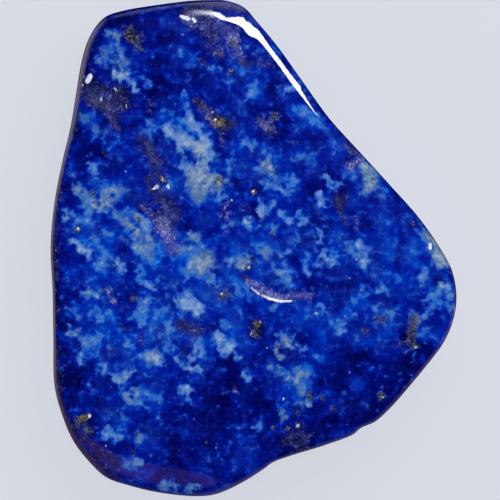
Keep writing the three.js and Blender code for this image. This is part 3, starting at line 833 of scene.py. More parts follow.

# Soft sky-blue haze, where calcite is thinly mixed into the blue: wide, weak clouds, and smaller,
# stronger ones. One row is painted light, a paler band on the bevel at the narrow end's corner.
HAZE_AND_EDGE_LIGHT = (
    (1.4, 0.1, (-7.2, 10.0), (-6.8, 9.2)),
    (1.3, 0.12, (-8.6, 2.4), (-7.2, 1.6), (-5.8, 0.6)),
    (1.5, 0.16, (-8.4, -1.0), (-8.2, -3.2), (-7.6, -4.8)),
    (1.6, 0.2, (-3.4, 6.0), (-2.6, 4.2)),
    (1.4, 0.16, (-3.2, -1.0), (-0.8, -1.2)),
    (1.5, 0.16, (-5.0, -3.2), (-3.2, -5.0)),
    (1.4, 0.12, (-6.8, -6.4), (-5.6, -7.4)),
    (1.3, 0.12, (0.8, 4.4), (1.4, 3.0)),
    (1.5, 0.14, (2.2, 1.2), (4.4, -0.4)),
    (1.2, 0.14, (6.0, 4.0), (6.6, 2.6)),
    (1.2, 0.12, (5.4, -2.6), (6.6, -3.2)),
    (1.3, 0.16, (9.0, -1.6), (9.4, -3.4)),
    (1.1, 0.16, (2.5, -6.4), (2.6, -7.4)),
    (1.2, 0.12, (-7.0, -9.6), (-6.2, -10.4)),
    (0.45, 0.3, (-7.6, 10.2), (-7.2, 9.5)),
    (0.4, 0.35, (-7.45, 8.6),),
    (0.35, 0.2, (-3.6, 10.2), (-3.2, 9.7)),
    (0.35, 0.2, (-1.3, 8.6), (-0.7, 9.2)),
    (0.4, 0.35, (-8.8, 6.9), (-8.2, 5.9), (-7.4, 5.4)),
    (0.45, 0.4, (-5.35, 6.2),),
    (0.4, 0.3, (-6.4, 4.8),),
    (0.3, 0.15, (-8.9, 3.2), (-8.5, 3.4)),
    (0.35, 0.5, (-4.6, 7.0), (-4.7, 6.7)),
    (0.45, 0.4, (-1.25, 4.5), (-0.9, 4.0)),
    (0.5, 0.4, (-0.7, 5.2), (0.4, 5.2)),
    (0.4, 0.4, (2.5, 7.1), (3.1, 6.8), (3.9, 6.1)),
    (0.4, 0.15, (4.1, 5.2), (4.5, 4.8)),
    (0.45, 0.25, (2.3, 4.8), (2.9, 4.6)),
    (0.35, 0.45, (-8.2, 0.3), (-7.8, -0.2), (-7.8, -0.5), (-8.1, -0.9)),
    (0.3, 0.45, (-8.9, 0.3), (-8.4, -0.25)),
    (0.4, 0.4, (-7.8, -1.4), (-7.4, -1.6)),
    (0.25, 0.2, (-7.7, 0.65),),
    (0.5, 0.2, (-6.6, 1.4), (-5.4, -0.6)),
    (0.35, 0.4, (-3.9, -0.3), (-3.5, -1.2)),
    (0.3, 0.15, (-1.5, 1.3),),
    (0.35, 0.4, (0.1, 0.1), (0.6, -0.2)),
    (0.5, 0.3, (-1.2, -1.9), (-0.7, -2.1)),
    (0.3, 0.2, (2.2, 0.5),),
    (0.35, 0.35, (5.05, 0.25), (5.3, -0.5)),
    (0.35, 0.3, (6.6, 1.5),),
    (0.3, 0.5, (9.15, 0.35), (9.4, -0.3), (9.6, -0.8)),
    (0.35, 0.35, (7.2, -0.5),),
    (0.4, 0.35, (5.75, -2.2), (5.5, -2.7)),
    (0.35, 0.25, (5.3, -4.6), (5.9, -4.9)),
    (0.35, 0.4, (8.65, -4.45), (9.0, -4.35)),
    (0.35, 0.4, (3.5, -3.4), (3.95, -3.75), (4.8, -3.5)),
    (0.35, 0.3, (3.5, -4.6), (3.6, -5.2)),
    (0.5, 0.35, (-4.8, -3.4), (-4.4, -5.2)),
    (0.5, 0.45, (-1.1, -3.9), (-1.1, -4.7)),
    (0.35, 0.35, (-0.9, -5.2), (-0.4, -5.7)),
    (0.5, 0.4, (-8.7, -5.4), (-8.1, -5.4)),
    (0.5, 0.35, (-7.2, -4.3), (-6.8, -5.0)),
    (0.35, 0.3, (-7.9, -3.6), (-7.0, -3.3)),
    (0.45, 0.4, (-7.3, -8.3), (-7.0, -9.2)),
    (0.3, 0.35, (-5.4, -7.3), (-4.9, -8.2)),
    (0.3, 0.3, (-5.1, -8.85),),
    (0.35, 0.35, (-5.9, -10.0), (-5.2, -10.2)),
    (0.45, 0.3, (-0.55, -10.3), (-0.4, -10.6)),
    (0.4, 0.3, (-0.9, -11.3), (0.2, -11.4)),
    (0.4, 0.25, (-2.5, -10.8),),
    (0.5, 0.35, (1.9, -7.2), (2.7, -7.1)),
    (0.45, 0.4, (2.9, -6.4), (3.3, -6.5)),
    (0.3, 0.3, (2.4, -3.6), (1.6, -4.3)),
    (0.3, 0.35, (3.4, -4.4), (3.7, -4.9)),
    (0.35, 0.25, (1.6, -8.7),),
    (0.3, 0.35, (2.4, -5.3), (3.4, -5.6)),
    # Painted light: a paler band along the bevel of the narrow end's right corner.
    (0.4, 0.2, (-1.1, 12.65), (-0.3, 12.2), (0.4, 11.4)),
    (0.3, 0.5, (0.2, 8.2),),
    (0.3, 0.35, (-2.3, 9.2),),
    (0.4, 0.3, (-1.7, -2.5),),
    (0.4, 0.4, (0.6, 0.3), (0.9, -0.2)),
    (0.4, 0.35, (1.5, -0.8), (1.8, -1.0)),
    (0.4, 0.5, (8.3, 0.3), (8.3, -0.7)),
    (0.5, 0.4, (6.0, 0.3), (6.5, 0.0)),
    (0.4, 0.35, (2.9, -0.6),),
    (0.4, 0.3, (-0.6, -9.5),),
    (0.4, 0.3, (-2.7, -11.4), (-2.4, -11.9)),
    (0.35, 0.4, (0.9, 3.9), (1.6, 3.8), (2.1, 3.3)),
    (0.5, 0.35, (1.7, 7.7), (2.6, 6.8)),
    (0.4, 0.4, (-4.9, 0.3), (-4.2, -0.3)),
    (0.5, 0.4, (-2.5, -2.2), (-1.9, -2.7), (-1.2, -3.4), (-0.9, -4.0)),
    (0.6, 0.35, (-5.8, -3.2), (-5.6, -4.2), (-4.9, -3.3)),
    (0.4, 0.35, (-2.0, -5.1), (-2.4, -5.8)),
    (0.6, 0.35, (-6.4, -6.1), (-5.2, -6.6)),
    (0.4, 0.35, (-4.6, -8.8), (-5.1, -9.8)),
    (0.5, 0.4, (2.3, -1.9), (2.8, -3.5), (3.5, -2.9)),
    (0.5, 0.45, (6.3, -1.2), (7.0, -1.6), (7.4, -1.9)),
    (0.4, 0.3, (7.0, -3.9),),
    (0.4, 0.35, (-4.1, 9.6),),
    (0.4, 0.75, (-1.0, 0.2), (-0.9, -0.2)),
    (0.5, 0.3, (0.2, -1.2),),
    (0.4, 0.3, (-2.4, 1.3),),
    (0.35, 0.3, (-2.6, 6.9),),
    (0.4, 0.4, (4.5, -4.3),),
    (0.3, 0.3, (3.9, -8.4),),
    (0.35, 0.3, (5.3, 3.2), (5.9, 2.8)),
    (0.4, 0.5, (-6.0, 5.9),),
    (0.4, 0.45, (-4.1, 0.5), (-2.3, 0.35)),
    (0.4, 0.4, (1.7, 0.1),),
    (0.35, 0.4, (0.2, 3.9),),
    (0.4, 0.35, (5.2, 2.4), (5.8, 2.7)),
    (0.5, 0.4, (6.7, 1.3), (7.0, -0.2)),
    (0.4, 0.4, (8.1, 0.0), (8.3, -0.7)),
    (0.5, 0.4, (4.1, -1.3), (5.2, -1.1)),
    (0.4, 0.4, (1.4, -3.4),),
    (0.4, 0.4, (-7.5, -3.4), (-7.9, -3.9)),
    (0.4, 0.25, (-8.3, -5.2),),
    (0.5, 0.4, (-0.4, -5.3),),
    (0.4, 0.4, (3.9, -5.6),),
    (0.5, 0.5, (2.6, -7.6),),
    (0.5, 0.3, (-7.4, -8.3), (-6.5, -8.7)),
    (0.4, 0.4, (4.1, -8.0),),
    (0.5, 0.3, (6.2, -5.0), (7.0, -4.3)),
    (0.4, 0.35, (0.0, 7.8), (-1.0, 7.2)),
    (0.5, 0.3, (2.3, 7.0), (2.9, 6.4)),
    (0.45, 0.6, (-4.6, 11.7), (-3.7, 11.5)),
    (0.4, 0.6, (-5.1, 0.2), (-5.1, -0.7)),
    (0.35, 0.5, (0.2, -0.9),),
    (0.35, 0.5, (0.5, -3.1),),
    (0.35, 0.35, (5.8, -3.2), (6.2, -3.3)),
    (0.3, 0.4, (1.0, 4.7),),
    (0.4, 0.4, (-9.2, 1.3), (-9.1, 0.6)),
    (0.3, 0.4, (0.8, 2.9),),
    (0.3, 0.5, (2.1, 2.9),),
    (0.3, 0.4, (-4.3, 3.3),),
    (0.4, 0.4, (9.1, -1.9),),
    (0.4, 0.35, (1.8, -2.0),),
    (0.4, 0.4, (2.4, -3.9), (3.7, -4.4)),
    (0.35, 0.45, (-2.95, -6.65), (-3.1, -6.8)),
    (0.4, 0.6, (-2.3, -2.4),),
    (0.4, 0.6, (4.4, 0.6),),
    (0.4, 0.5, (5.0, -6.9), (5.6, -7.1)),
    (0.4, 0.5, (2.5, 6.2),),
    (0.35, 0.5, (-0.9, 10.0),),
    (0.4, 0.35, (-1.6, -3.2),),
    (0.35, 0.4, (0.9, 1.0),),
    (0.35, 0.85, (5.25, 3.7),),
    (0.35, 0.4, (-0.05, 1.1),),
    (0.35, 0.3, (7.0, -3.4),),
    (0.4, 0.25, (-6.3, -0.4),),
)

# Places where the blue is darkest, and painted shadow along the narrow end and the left edge.
NAVY_AND_SHADE = (
    # Painted shadow: this row and the next darken the narrow end and the upper left edge.
    (1.2, 1.0, (-8.0, 12.3), (-5.6, 12.5), (-3.4, 12.7)),
    (0.6, 1.0, (-8.3, 11.7), (-8.7, 10.6), (-8.9, 9.3)),
    (0.9, 0.6, (-5.4, 11.6), (-5.2, 9.6), (-4.9, 8.5)),
    (0.7, 0.6, (-4.6, 11.2), (-3.2, 11.0)),
    (0.7, 0.6, (-9.0, 8.6), (-7.2, 8.3)),
    (0.8, 0.6, (-6.3, 7.5), (-6.2, 6.4)),
    (0.8, 0.6, (-9.3, 6.0), (-9.2, 4.9), (-8.2, 5.0)),
    (0.5, 0.6, (-9.8, 2.4), (-9.9, 1.0), (-9.9, -0.4)),
    (0.7, 0.5, (-2.8, 8.6), (-2.9, 9.0)),
    (0.6, 0.6, (-1.0, 7.2), (-0.9, 6.0)),
    (0.8, 0.5, (0.8, 8.9), (1.2, 7.5)),
    (0.9, 0.55, (1.6, 6.2), (3.0, 5.6)),
    (0.9, 0.42, (1.7, 5.2), (3.1, 4.2)),
    (0.5, 0.6, (-6.9, 1.5), (-8.2, 1.6)),
    (0.5, 0.45, (-6.9, 0.0), (-6.6, -0.9)),
    (0.7, 0.5, (-6.9, -1.6), (-6.6, -2.6)),
    (0.7, 0.6, (-9.8, -2.4), (-9.9, -3.8)),
    (1.4, 0.9, (-9.8, -6.2), (-9.2, -7.4)),
    (1.1, 0.45, (-7.6, -8.2), (-8.8, -8.4)),
    (1.0, 0.5, (-6.0, -8.8), (-4.4, -9.0)),
    (1.2, 0.5, (-4.8, -6.8), (-4.6, -6.0)),
    (1.9, 0.85, (-2.2, -7.9), (-2.9, -9.6), (-3.4, -10.6)),
    (1.2, 0.7, (-1.6, -6.4), (0.3, -7.8)),
    (0.7, 0.5, (-2.4, -3.9), (-2.2, -3.1)),
    (0.8, 0.5, (0.2, -5.4), (0.4, -6.6)),
    (0.7, 0.5, (-1.9, 0.3), (-1.9, -0.8)),
    (0.9, 0.75, (-1.0, 3.2), (-0.6, 2.5)),
    (0.5, 0.5, (1.4, 0.9), (2.2, -0.9)),
    (1.2, 0.65, (3.4, -1.7), (4.8, -1.5)),
    (0.6, 0.5, (2.3, -1.9), (2.4, -3.2)),
    (0.9, 0.5, (4.8, 2.2), (6.0, 0.9)),
    (0.6, 0.5, (4.6, -0.2), (4.7, -0.8)),
    (0.9, 0.5, (6.6, -0.9), (7.9, -1.2)),
    (1.1, 0.55, (2.6, -4.6), (4.0, -5.0)),
    (1.8, 1.0, (4.8, -6.6), (6.8, -6.4), (7.4, -6.9)),
    (0.8, 0.8, (7.5, -5.4), (8.9, -5.6)),
    (1.4, 0.8, (4.2, -8.8), (6.4, -8.4)),
    (0.9, 1.0, (0.9, -9.9), (2.3, -10.2)),
    (0.8, 0.7, (1.0, -10.7), (0.1, -11.1), (-0.5, -11.9)),
    (0.7, 0.7, (-7.2, -10.5), (-8.6, -10.0), (-8.7, -9.2)),
    (0.4, 0.7, (-9.7, 0.8), (-9.6, -0.3)),
    (0.5, 0.5, (-9.4, -1.2), (-9.3, -2.4)),
    (0.4, 0.4, (-7.2, 0.5), (-6.6, 0.4)),
    (0.6, 0.6, (-3.4, 2.2), (-3.4, 1.4)),
    (0.5, 0.6, (-0.1, -3.5), (0.3, -4.9)),
    (0.6, 0.6, (0.2, -6.2), (0.5, -7.6)),
    (0.5, 0.5, (-1.9, 0.7), (-1.8, 0.2)),
    (0.7, 1.0, (-8.2, 7.9), (-7.6, 7.0), (-7.2, 6.2)),
    (0.9, 0.8, (-6.5, 7.8), (-6.4, 6.8)),
    (0.5, 0.35, (-5.0, 8.0), (-5.1, 7.2)),
    (0.5, 0.7, (-5.9, 11.3), (-5.6, 10.9)),
    (0.5, 0.6, (-1.1, 5.9), (-1.8, 5.0)),
    (0.4, 0.8, (0.0, -4.2), (0.0, -4.6)),
    (0.6, 0.5, (3.0, 3.6), (3.4, 2.9)),
    (0.6, 0.5, (2.6, 2.6), (3.0, 2.2)),
    (0.5, 0.6, (1.6, 0.95), (1.8, 0.8)),
    (0.4, 0.5, (7.6, 0.7),),
    (0.4, 0.8, (7.8, -4.3), (7.7, -5.1)),
    (0.5, 1.0, (1.2, -9.5), (1.6, -9.6)),
    (0.8, 0.4, (-3.1, -9.6), (-3.3, -8.2)),
    (0.5, 0.5, (-1.3, -10.3),),
    (0.5, 0.8, (-4.1, 7.9), (-3.9, 7.0)),
    (0.6, 0.6, (-2.7, 11.2), (-2.4, 10.5)),
    (0.6, 0.6, (-0.1, 7.2), (0.3, 6.9)),
    (0.4, 0.5, (-5.1, 5.7), (-4.8, 6.2)),
    (0.6, 0.4, (-6.6, 4.2), (-6.2, 3.7)),
    (0.5, 0.4, (-1.4, 2.8), (0.2, 2.7), (0.3, 1.7)),
    (0.5, 0.6, (4.6, 3.4), (4.6, 3.0)),
    (0.6, 0.6, (6.3, 2.2), (6.1, 1.6)),
    (0.4, 0.7, (6.0, -2.0),),
    (0.5, 0.8, (7.0, -2.5), (7.2, -2.4)),
    (0.5, 0.5, (3.2, -3.4), (4.4, -3.3)),
    (0.7, 0.6, (6.9, -6.3), (7.4, -5.7)),
    (0.4, 0.5, (5.5, -4.1),),
    (0.4, 0.9, (-8.9, -3.8), (-8.6, -3.7)),
    (0.5, 0.7, (-6.6, -3.5),),
    (0.3, 0.7, (-5.6, -2.5),),
    (0.6, 0.7, (-3.2, -9.7),),
    (0.45, 1.0, (-3.2, -8.05),),
    (0.4, 0.6, (1.3, -9.6),),
    (0.5, 0.7, (2.8, -8.6),),
    (0.5, 0.7, (-6.1, -10.9), (-5.5, -10.7)),
    (0.3, 0.3, (-2.5, -6.7),),
    (0.3, 0.5, (0.1, 0.0), (-0.2, -0.6)),
    (0.5, 0.5, (0.0, -2.6), (0.2, -2.9)),
    (0.5, 0.5, (2.8, -4.7),),
    # Painted shadow: this row and the next darken the upper left edge and the left rim.
    (0.35, 1.0, (-8.8, 9.0), (-8.45, 10.4), (-7.8, 11.4)),
    (0.35, 1.0, (-10.3, 0.0), (-10.35, -5.0), (-10.05, -8.0), (-9.3, -10.2)),
    (0.5, 0.8, (7.3, 0.8), (7.5, 0.3)),
    (0.5, 0.6, (4.8, -7.7),),
    (0.5, 0.5, (-1.0, 8.4), (-1.0, 7.9)),
    (0.35, 0.7, (-2.2, 11.1), (-2.6, 10.9)),
    (0.5, 0.9, (-8.5, 7.5), (-7.7, 7.2)),
    (0.4, 0.8, (-4.5, -1.0),),
    (0.3, 0.5, (7.1, -3.1),),
    (0.26, 0.6, (2.7, 3.95),),
    (0.35, 0.8, (3.7, 3.95),),
    (0.3, 0.7, (-1.6, 0.8),),
    (0.5, 0.9, (-3.3, -8.2),),
    (0.4, 0.7, (-7.0, -7.95),),
    (0.35, 0.6, (2.8, -4.6),),
    (0.35, 0.6, (0.3, 1.65),),
    (0.4, 0.5, (-7.9, -9.1),),
    (0.45, 1.0, (-6.0, 11.3), (-5.8, 11.1)),
    (0.35, 0.6, (6.15, -0.5),),
    (0.3, 0.6, (-3.55, -6.85),),
    (0.4, 0.6, (-3.2, 12.25),),
    (0.35, 0.8, (-8.7, 4.0),),
)

# Dark purple grains that have pitted, and painted shade along the left edge.
PITTED_AND_RIM_SHADE = (
    (0.55, 1.0, (-8.8, 8.3), (-7.9, 8.0), (-7.2, 7.65)),
    (0.4, 0.9, (-9.0, 8.7), (-8.6, 8.6)),
    (0.45, 0.9, (-7.0, 8.1), (-6.8, 7.4)),
    (0.26, 0.9, (-7.45, 7.0), (-7.2, 6.5), (-7.0, 6.2)),
    (0.25, 0.5, (-5.4, 7.6), (-5.3, 7.1)),
    (0.36, 0.7, (-5.9, 5.8), (-5.6, 5.3)),
    (0.5, 0.66, (-5.5, 5.2), (-5.2, 4.6), (-5.0, 3.8)),
    (0.25, 0.7, (-5.6, 3.6), (-5.4, 3.0)),
    (0.26, 0.75, (-5.8, 2.3), (-5.4, 1.9), (-5.0, 1.4)),
    (0.52, 0.95, (-4.75, 2.6), (-4.4, 2.1), (-4.3, 1.6)),
    (0.5, 1.0, (-4.8, 1.0), (-4.45, 0.5), (-4.25, 0.0)),
    (0.4, 0.9, (-3.5, 11.9), (-2.6, 11.6), (-2.2, 11.4)),
    (0.4, 0.75, (-1.9, 11.0), (-1.75, 10.6), (-1.8, 10.1)),
    (0.36, 0.9, (-1.0, 11.3), (-1.1, 10.6), (-0.9, 10.1), (-0.45, 9.6)),
    (0.3, 0.6, (0.2, 9.7), (0.7, 9.5)),
    (0.2, 0.6, (-2.7, 9.8), (-2.5, 9.3)),
    (0.34, 0.85, (-3.0, 7.7), (-2.4, 7.25), (-2.15, 6.8)),
    (0.42, 0.9, (-1.9, 6.5), (-1.3, 6.3)),
    (0.25, 0.6, (-1.75, 5.75), (-1.6, 5.35)),
    (0.34, 0.85, (0.3, 6.7), (0.7, 6.45), (0.85, 6.1)),
    (0.3, 0.9, (5.1, 5.2), (5.35, 4.7), (5.1, 4.2)),
    (0.2, 0.6, (4.75, 5.5), (5.3, 5.3)),
    (0.34, 0.85, (4.45, 2.65), (4.5, 2.15)),
    (0.22, 0.7, (4.6, 1.8), (4.75, 1.3)),
    (0.2, 0.5, (5.3, 1.5), (5.35, 1.0)),
    (0.26, 0.7, (-7.6, -2.1), (-7.3, -2.7)),
    (0.2, 0.5, (-6.9, -3.9), (-6.5, -4.3)),
    (0.44, 0.9, (-3.7, -4.0), (-3.3, -4.15), (-2.95, -4.35)),
    (0.3, 0.5, (-3.3, -5.1), (-3.7, -5.3)),
    (0.26, 0.6, (-5.9, -4.5), (-5.95, -5.1)),
    (0.25, 0.9, (-0.45, -1.5), (0.1, -1.95), (0.5, -2.2)),
    (0.26, 1.0, (0.3, -2.25), (1.0, -2.5), (1.9, -2.55)),
    (0.24, 0.95, (2.1, -2.4), (2.9, -2.45)),
    (0.25, 0.7, (-0.4, 2.1),),
    (0.2, 0.6, (-1.25, 2.35),),
    (0.2, 0.5, (3.9, 6.1), (4.5, 5.9)),
    (0.1, 0.6, (1.85, 5.5), (2.2, 5.4)),
    (0.5, 0.85, (1.7, -10.0), (2.5, -9.8), (2.4, -10.3)),
    (0.32, 0.9, (0.1, -4.05), (0.15, -4.35)),
    (0.35, 0.5, (-9.3, -9.2), (-8.5, -10.3)),
    (0.12, 0.7, (-0.95, -7.3), (-0.98, -7.55)),
    (0.35, 0.45, (-1.5, 2.0), (-1.4, 1.2)),
    # Painted shade: this row and the next darken the left rim to a dark grey.
    (0.2, 0.95, (-9.15, 8.0), (-9.55, 6.0), (-9.8, 5.0), (-10.25, 3.0), (-10.42, 0.6)),
    (0.2, 0.95, (-10.42, 0.6), (-10.42, -5.0), (-10.25, -7.0), (-9.9, -8.8), (-9.2, -10.4)),
    (0.35, 1.0, (-3.5, 12.3), (-3.0, 12.45), (-2.4, 12.4)),
    (0.32, 0.85, (-1.9, 12.62), (-0.9, 12.55), (-0.25, 12.25)),
    (0.26, 0.7, (-9.2, 6.9), (-9.35, 6.2)),
    (0.3, 0.8, (-8.1, -10.6), (-7.5, -11.0), (-7.0, -11.3)),
    (0.3, 0.95, (-8.9, -10.7), (-8.1, -11.5), (-7.0, -12.1)),
    (0.3, 0.8, (-2.4, 11.7), (-1.7, 11.6), (-1.2, 11.35)),
    (0.3, 0.8, (-8.5, 7.65), (-7.8, 7.2)),
    (0.28, 0.8, (1.0, 6.85),),
    (0.36, 0.9, (-3.1, 12.2), (-2.55, 11.9), (-2.2, 11.4)),
)

# Where the pitted grains are a light lilac, and a painted highlight on a dent's lit lower lip.
LILAC_AND_LIT_LIP = (
    (0.55, 1.0, (-4.8, 0.8), (-4.3, 0.1)),
    (0.25, 0.5, (-4.7, 2.3), (-4.4, 1.7)),
    (0.25, 0.6, (-5.7, 2.2), (-5.1, 1.5)),
    (0.3, 0.15, (-7.6, 7.8), (-7.2, 7.5)),
    (0.2, 0.4, (-8.0, 7.9),),
    (0.2, 0.25, (-7.5, 6.9), (-7.1, 6.2)),
    (0.4, 0.7, (-3.4, 11.8), (-2.7, 11.5)),
    (0.28, 0.6, (-1.9, 10.7), (-1.8, 10.3)),
    (0.3, 0.7, (-1.0, 11.0), (-0.7, 10.1)),
    (0.3, 0.5, (0.3, 6.7), (0.7, 6.3)),
    (0.3, 0.9, (1.0, 6.8),),
    # Partly painted highlight: the dent's lilac grains, brightest along its lower lip as if lit.
    (0.24, 1.0, (-0.2, -1.7), (0.4, -2.15), (1.0, -2.5), (1.9, -2.6)),
    (0.24, 0.95, (2.2, -2.4), (2.9, -2.45)),
    (0.2, 0.5, (5.25, 1.5), (5.3, 1.0)),
    (0.25, 0.8, (-7.5, -2.3), (-7.3, -2.7)),
    (0.2, 0.7, (-3.0, -4.2),),
    (0.3, 0.8, (5.3, 4.6), (5.1, 4.2)),
    (0.2, 0.6, (-5.6, 7.6), (-5.4, 6.7)),
    (0.2, 0.6, (-1.7, 5.6),),
    (0.15, 1.0, (-0.95, -7.3), (-0.98, -7.55)),
    (0.2, 0.6, (-5.9, -4.8),),
    (0.3, 0.4, (2.7, -9.6),),
    (0.4, 0.9, (-1.5, 2.0), (-1.4, 1.2)),
    (0.36, 1.0, (-1.2, 10.9), (-1.15, 10.4)),
    (0.3, 0.5, (-2.4, 7.1),),
    (0.35, 0.6, (-1.9, 11.7), (-1.0, 11.5)),
)

# Olive stain round weathered pyrite.
OLIVE = (
    (0.4, 0.9, (-6.5, 11.3), (-6.3, 10.9), (-6.0, 10.5)),
    (0.26, 0.6, (-1.1, 10.8), (-1.0, 10.4)),
    (0.22, 0.8, (-1.15, 9.1),),
    (0.3, 0.5, (-2.6, 7.6), (-2.2, 7.0)),
    (0.4, 0.85, (-1.75, 6.55),),
    (0.25, 0.85, (1.05, 6.85),),
    (0.34, 0.55, (-1.8, 3.5),),
    (0.2, 0.7, (-7.75, 4.92),),
    (0.25, 0.75, (-8.4, 2.9),),
    (0.22, 0.7, (-6.05, 1.5),),
    (0.2, 0.6, (-7.1, 1.2),),
    (0.3, 0.6, (0.9, 0.65),),
    (0.35, 0.7, (-6.3, -2.6),),
    (0.22, 0.8, (-0.3, -1.0),),
    (0.46, 0.85, (-1.65, -2.45),),
    (0.35, 0.7, (-9.1, -9.0), (-8.5, -9.7)),
    (0.2, 0.8, (-6.3, -10.65),),
    (0.36, 0.9, (8.4, -3.6), (8.2, -4.4), (8.3, -5.1)),
    (0.3, 0.5, (7.8, -4.9), (7.6, -5.1)),
    (0.3, 0.6, (5.7, -4.2), (5.95, -4.45)),
    (0.28, 0.8, (6.35, -3.75), (6.85, -3.75)),
    (0.25, 0.6, (1.3, -5.05), (1.35, -5.3)),
    (0.3, 0.9, (2.95, -7.65),),
    (0.2, 0.8, (3.65, -7.85),),
    (0.25, 0.7, (4.15, -8.35),),
    (0.12, 0.7, (1.0, -9.4),),
    (0.12, 0.7, (1.8, -9.4),),
    (0.22, 0.8, (2.2, -8.5),),
    (0.25, 0.8, (6.65, -7.75),),
    (0.2, 0.7, (8.3, 1.2),),
    (0.2, 0.6, (5.3, 5.4), (5.8, 4.9)),
    (0.3, 0.5, (-0.05, -4.05), (0.05, -4.5)),
    (0.2, 0.6, (-5.1, 3.3), (-4.7, 3.6)),
    (0.24, 0.7, (1.05, 6.8),),
    (0.28, 0.7, (-1.15, 10.55),),
)

# Where the calcite is weathered to a greenish grey.
GREY = (
    (0.9, 1.0, (-2.9, 3.8), (-3.0, 2.8)),
    (0.5, 1.0, (-1.9, 3.5),),
    (0.5, 0.4, (-4.0, 6.1), (-2.8, 5.2)),
    (0.8, 1.0, (-2.9, -0.9), (-2.5, -0.8)),
    (0.5, 0.7, (-3.3, 0.8), (-2.9, 0.4)),
    (0.6, 0.8, (-0.6, -0.6), (0.7, -0.4)),
    (0.8, 0.7, (-6.7, 1.5), (-5.9, 0.7), (-5.4, -0.3)),
    (0.8, 0.7, (-9.0, 3.2), (-8.3, 2.5), (-7.3, 2.9)),
    (0.7, 0.7, (-7.9, 10.6), (-6.7, 9.8), (-7.3, 11.2)),
    (0.5, 0.8, (0.4, 4.5), (1.1, 3.8)),
    (0.4, 1.0, (1.0, 6.85),),
    (0.8, 1.0, (5.8, 4.3), (6.1, 3.2)),
    (0.7, 0.9, (9.3, 0.3), (10.0, -0.9)),
    (0.6, 0.7, (8.4, 0.9), (9.2, 0.4)),
    (0.6, 0.8, (8.4, -3.5), (7.2, -3.3)),
    (0.5, 0.5, (9.8, -2.2), (10.2, -2.9)),
    (0.5, 0.9, (1.3, -5.6), (1.4, -5.0)),
    (0.7, 0.7, (1.2, -6.4), (2.6, -6.4)),
    (0.6, 0.9, (2.4, -7.8), (1.5, -8.8)),
    (0.7, 0.5, (-5.4, -5.6),),
    (0.7, 0.5, (-6.6, -7.0), (-6.4, -7.6)),
    (0.6, 0.5, (-9.2, -3.3), (-9.2, -4.4)),
    (0.5, 0.5, (-8.7, -2.3),),
    (0.5, 0.5, (-6.0, -9.8), (-6.2, -10.6)),
    (0.6, 0.8, (-8.8, 7.0), (-8.0, 6.4)),
)

# Pyrite, and how fresh it is.
PYRITE = (
    (0.22, 0.5, (-6.45, 11.15), (-6.3, 10.9)),
    (0.14, 0.5, (-1.05, 10.7),),
    (0.14, 0.55, (-1.15, 9.1),),
    (0.18, 0.6, (1.05, 6.85),),
    (0.34, 0.8, (-1.75, 6.55),),
    (0.26, 0.45, (-1.8, 3.5),),
    (0.15, 0.95, (-4.85, 3.7), (-4.65, 3.5)),
    (0.12, 0.5, (-7.75, 4.92),),
    (0.15, 0.4, (-8.4, 2.85),),
    (0.13, 0.55, (-6.0, 1.5),),
    (0.12, 0.4, (-7.1, 1.2),),
    (0.17, 1.0, (-9.15, 0.97),),
    (0.19, 1.0, (0.0, 2.95),),
    (0.12, 0.6, (6.2, 3.6),),
    (0.14, 0.55, (8.3, 1.2),),
    (0.13, 0.3, (0.9, 0.65),),
    (0.14, 0.85, (-0.28, -1.02),),
    (0.13, 0.6, (-1.65, -2.4),),
    (0.2, 0.95, (0.2, -3.95),),
    (0.12, 0.75, (0.15, -4.5),),
    (0.14, 0.3, (5.7, -4.2), (5.9, -4.4)),
    (0.14, 0.36, (6.7, -3.7),),
    (0.16, 0.4, (8.3, -4.1), (8.1, -4.8)),
    (0.14, 0.9, (8.42, -5.12),),
    (0.16, 0.35, (1.35, -5.2),),
    (0.2, 0.42, (2.95, -7.65),),
    (0.12, 0.5, (3.65, -7.85),),
    (0.12, 0.5, (4.15, -8.35),),
    (0.14, 0.6, (2.2, -8.5),),
    (0.16, 0.95, (2.3, -9.25),),
    (0.13, 0.7, (1.0, -9.38),),
    (0.13, 0.65, (1.8, -9.38),),
    (0.16, 0.6, (6.65, -7.75),),
    (0.2, 0.85, (-8.7, -8.8), (-9.0, -8.9)),
    (0.15, 0.6, (-8.4, -9.6),),
    (0.12, 0.55, (-6.3, -10.65),),
    (0.1, 0.5, (-6.05, -9.65),),
    (0.1, 0.6, (-2.45, -10.15),),
)
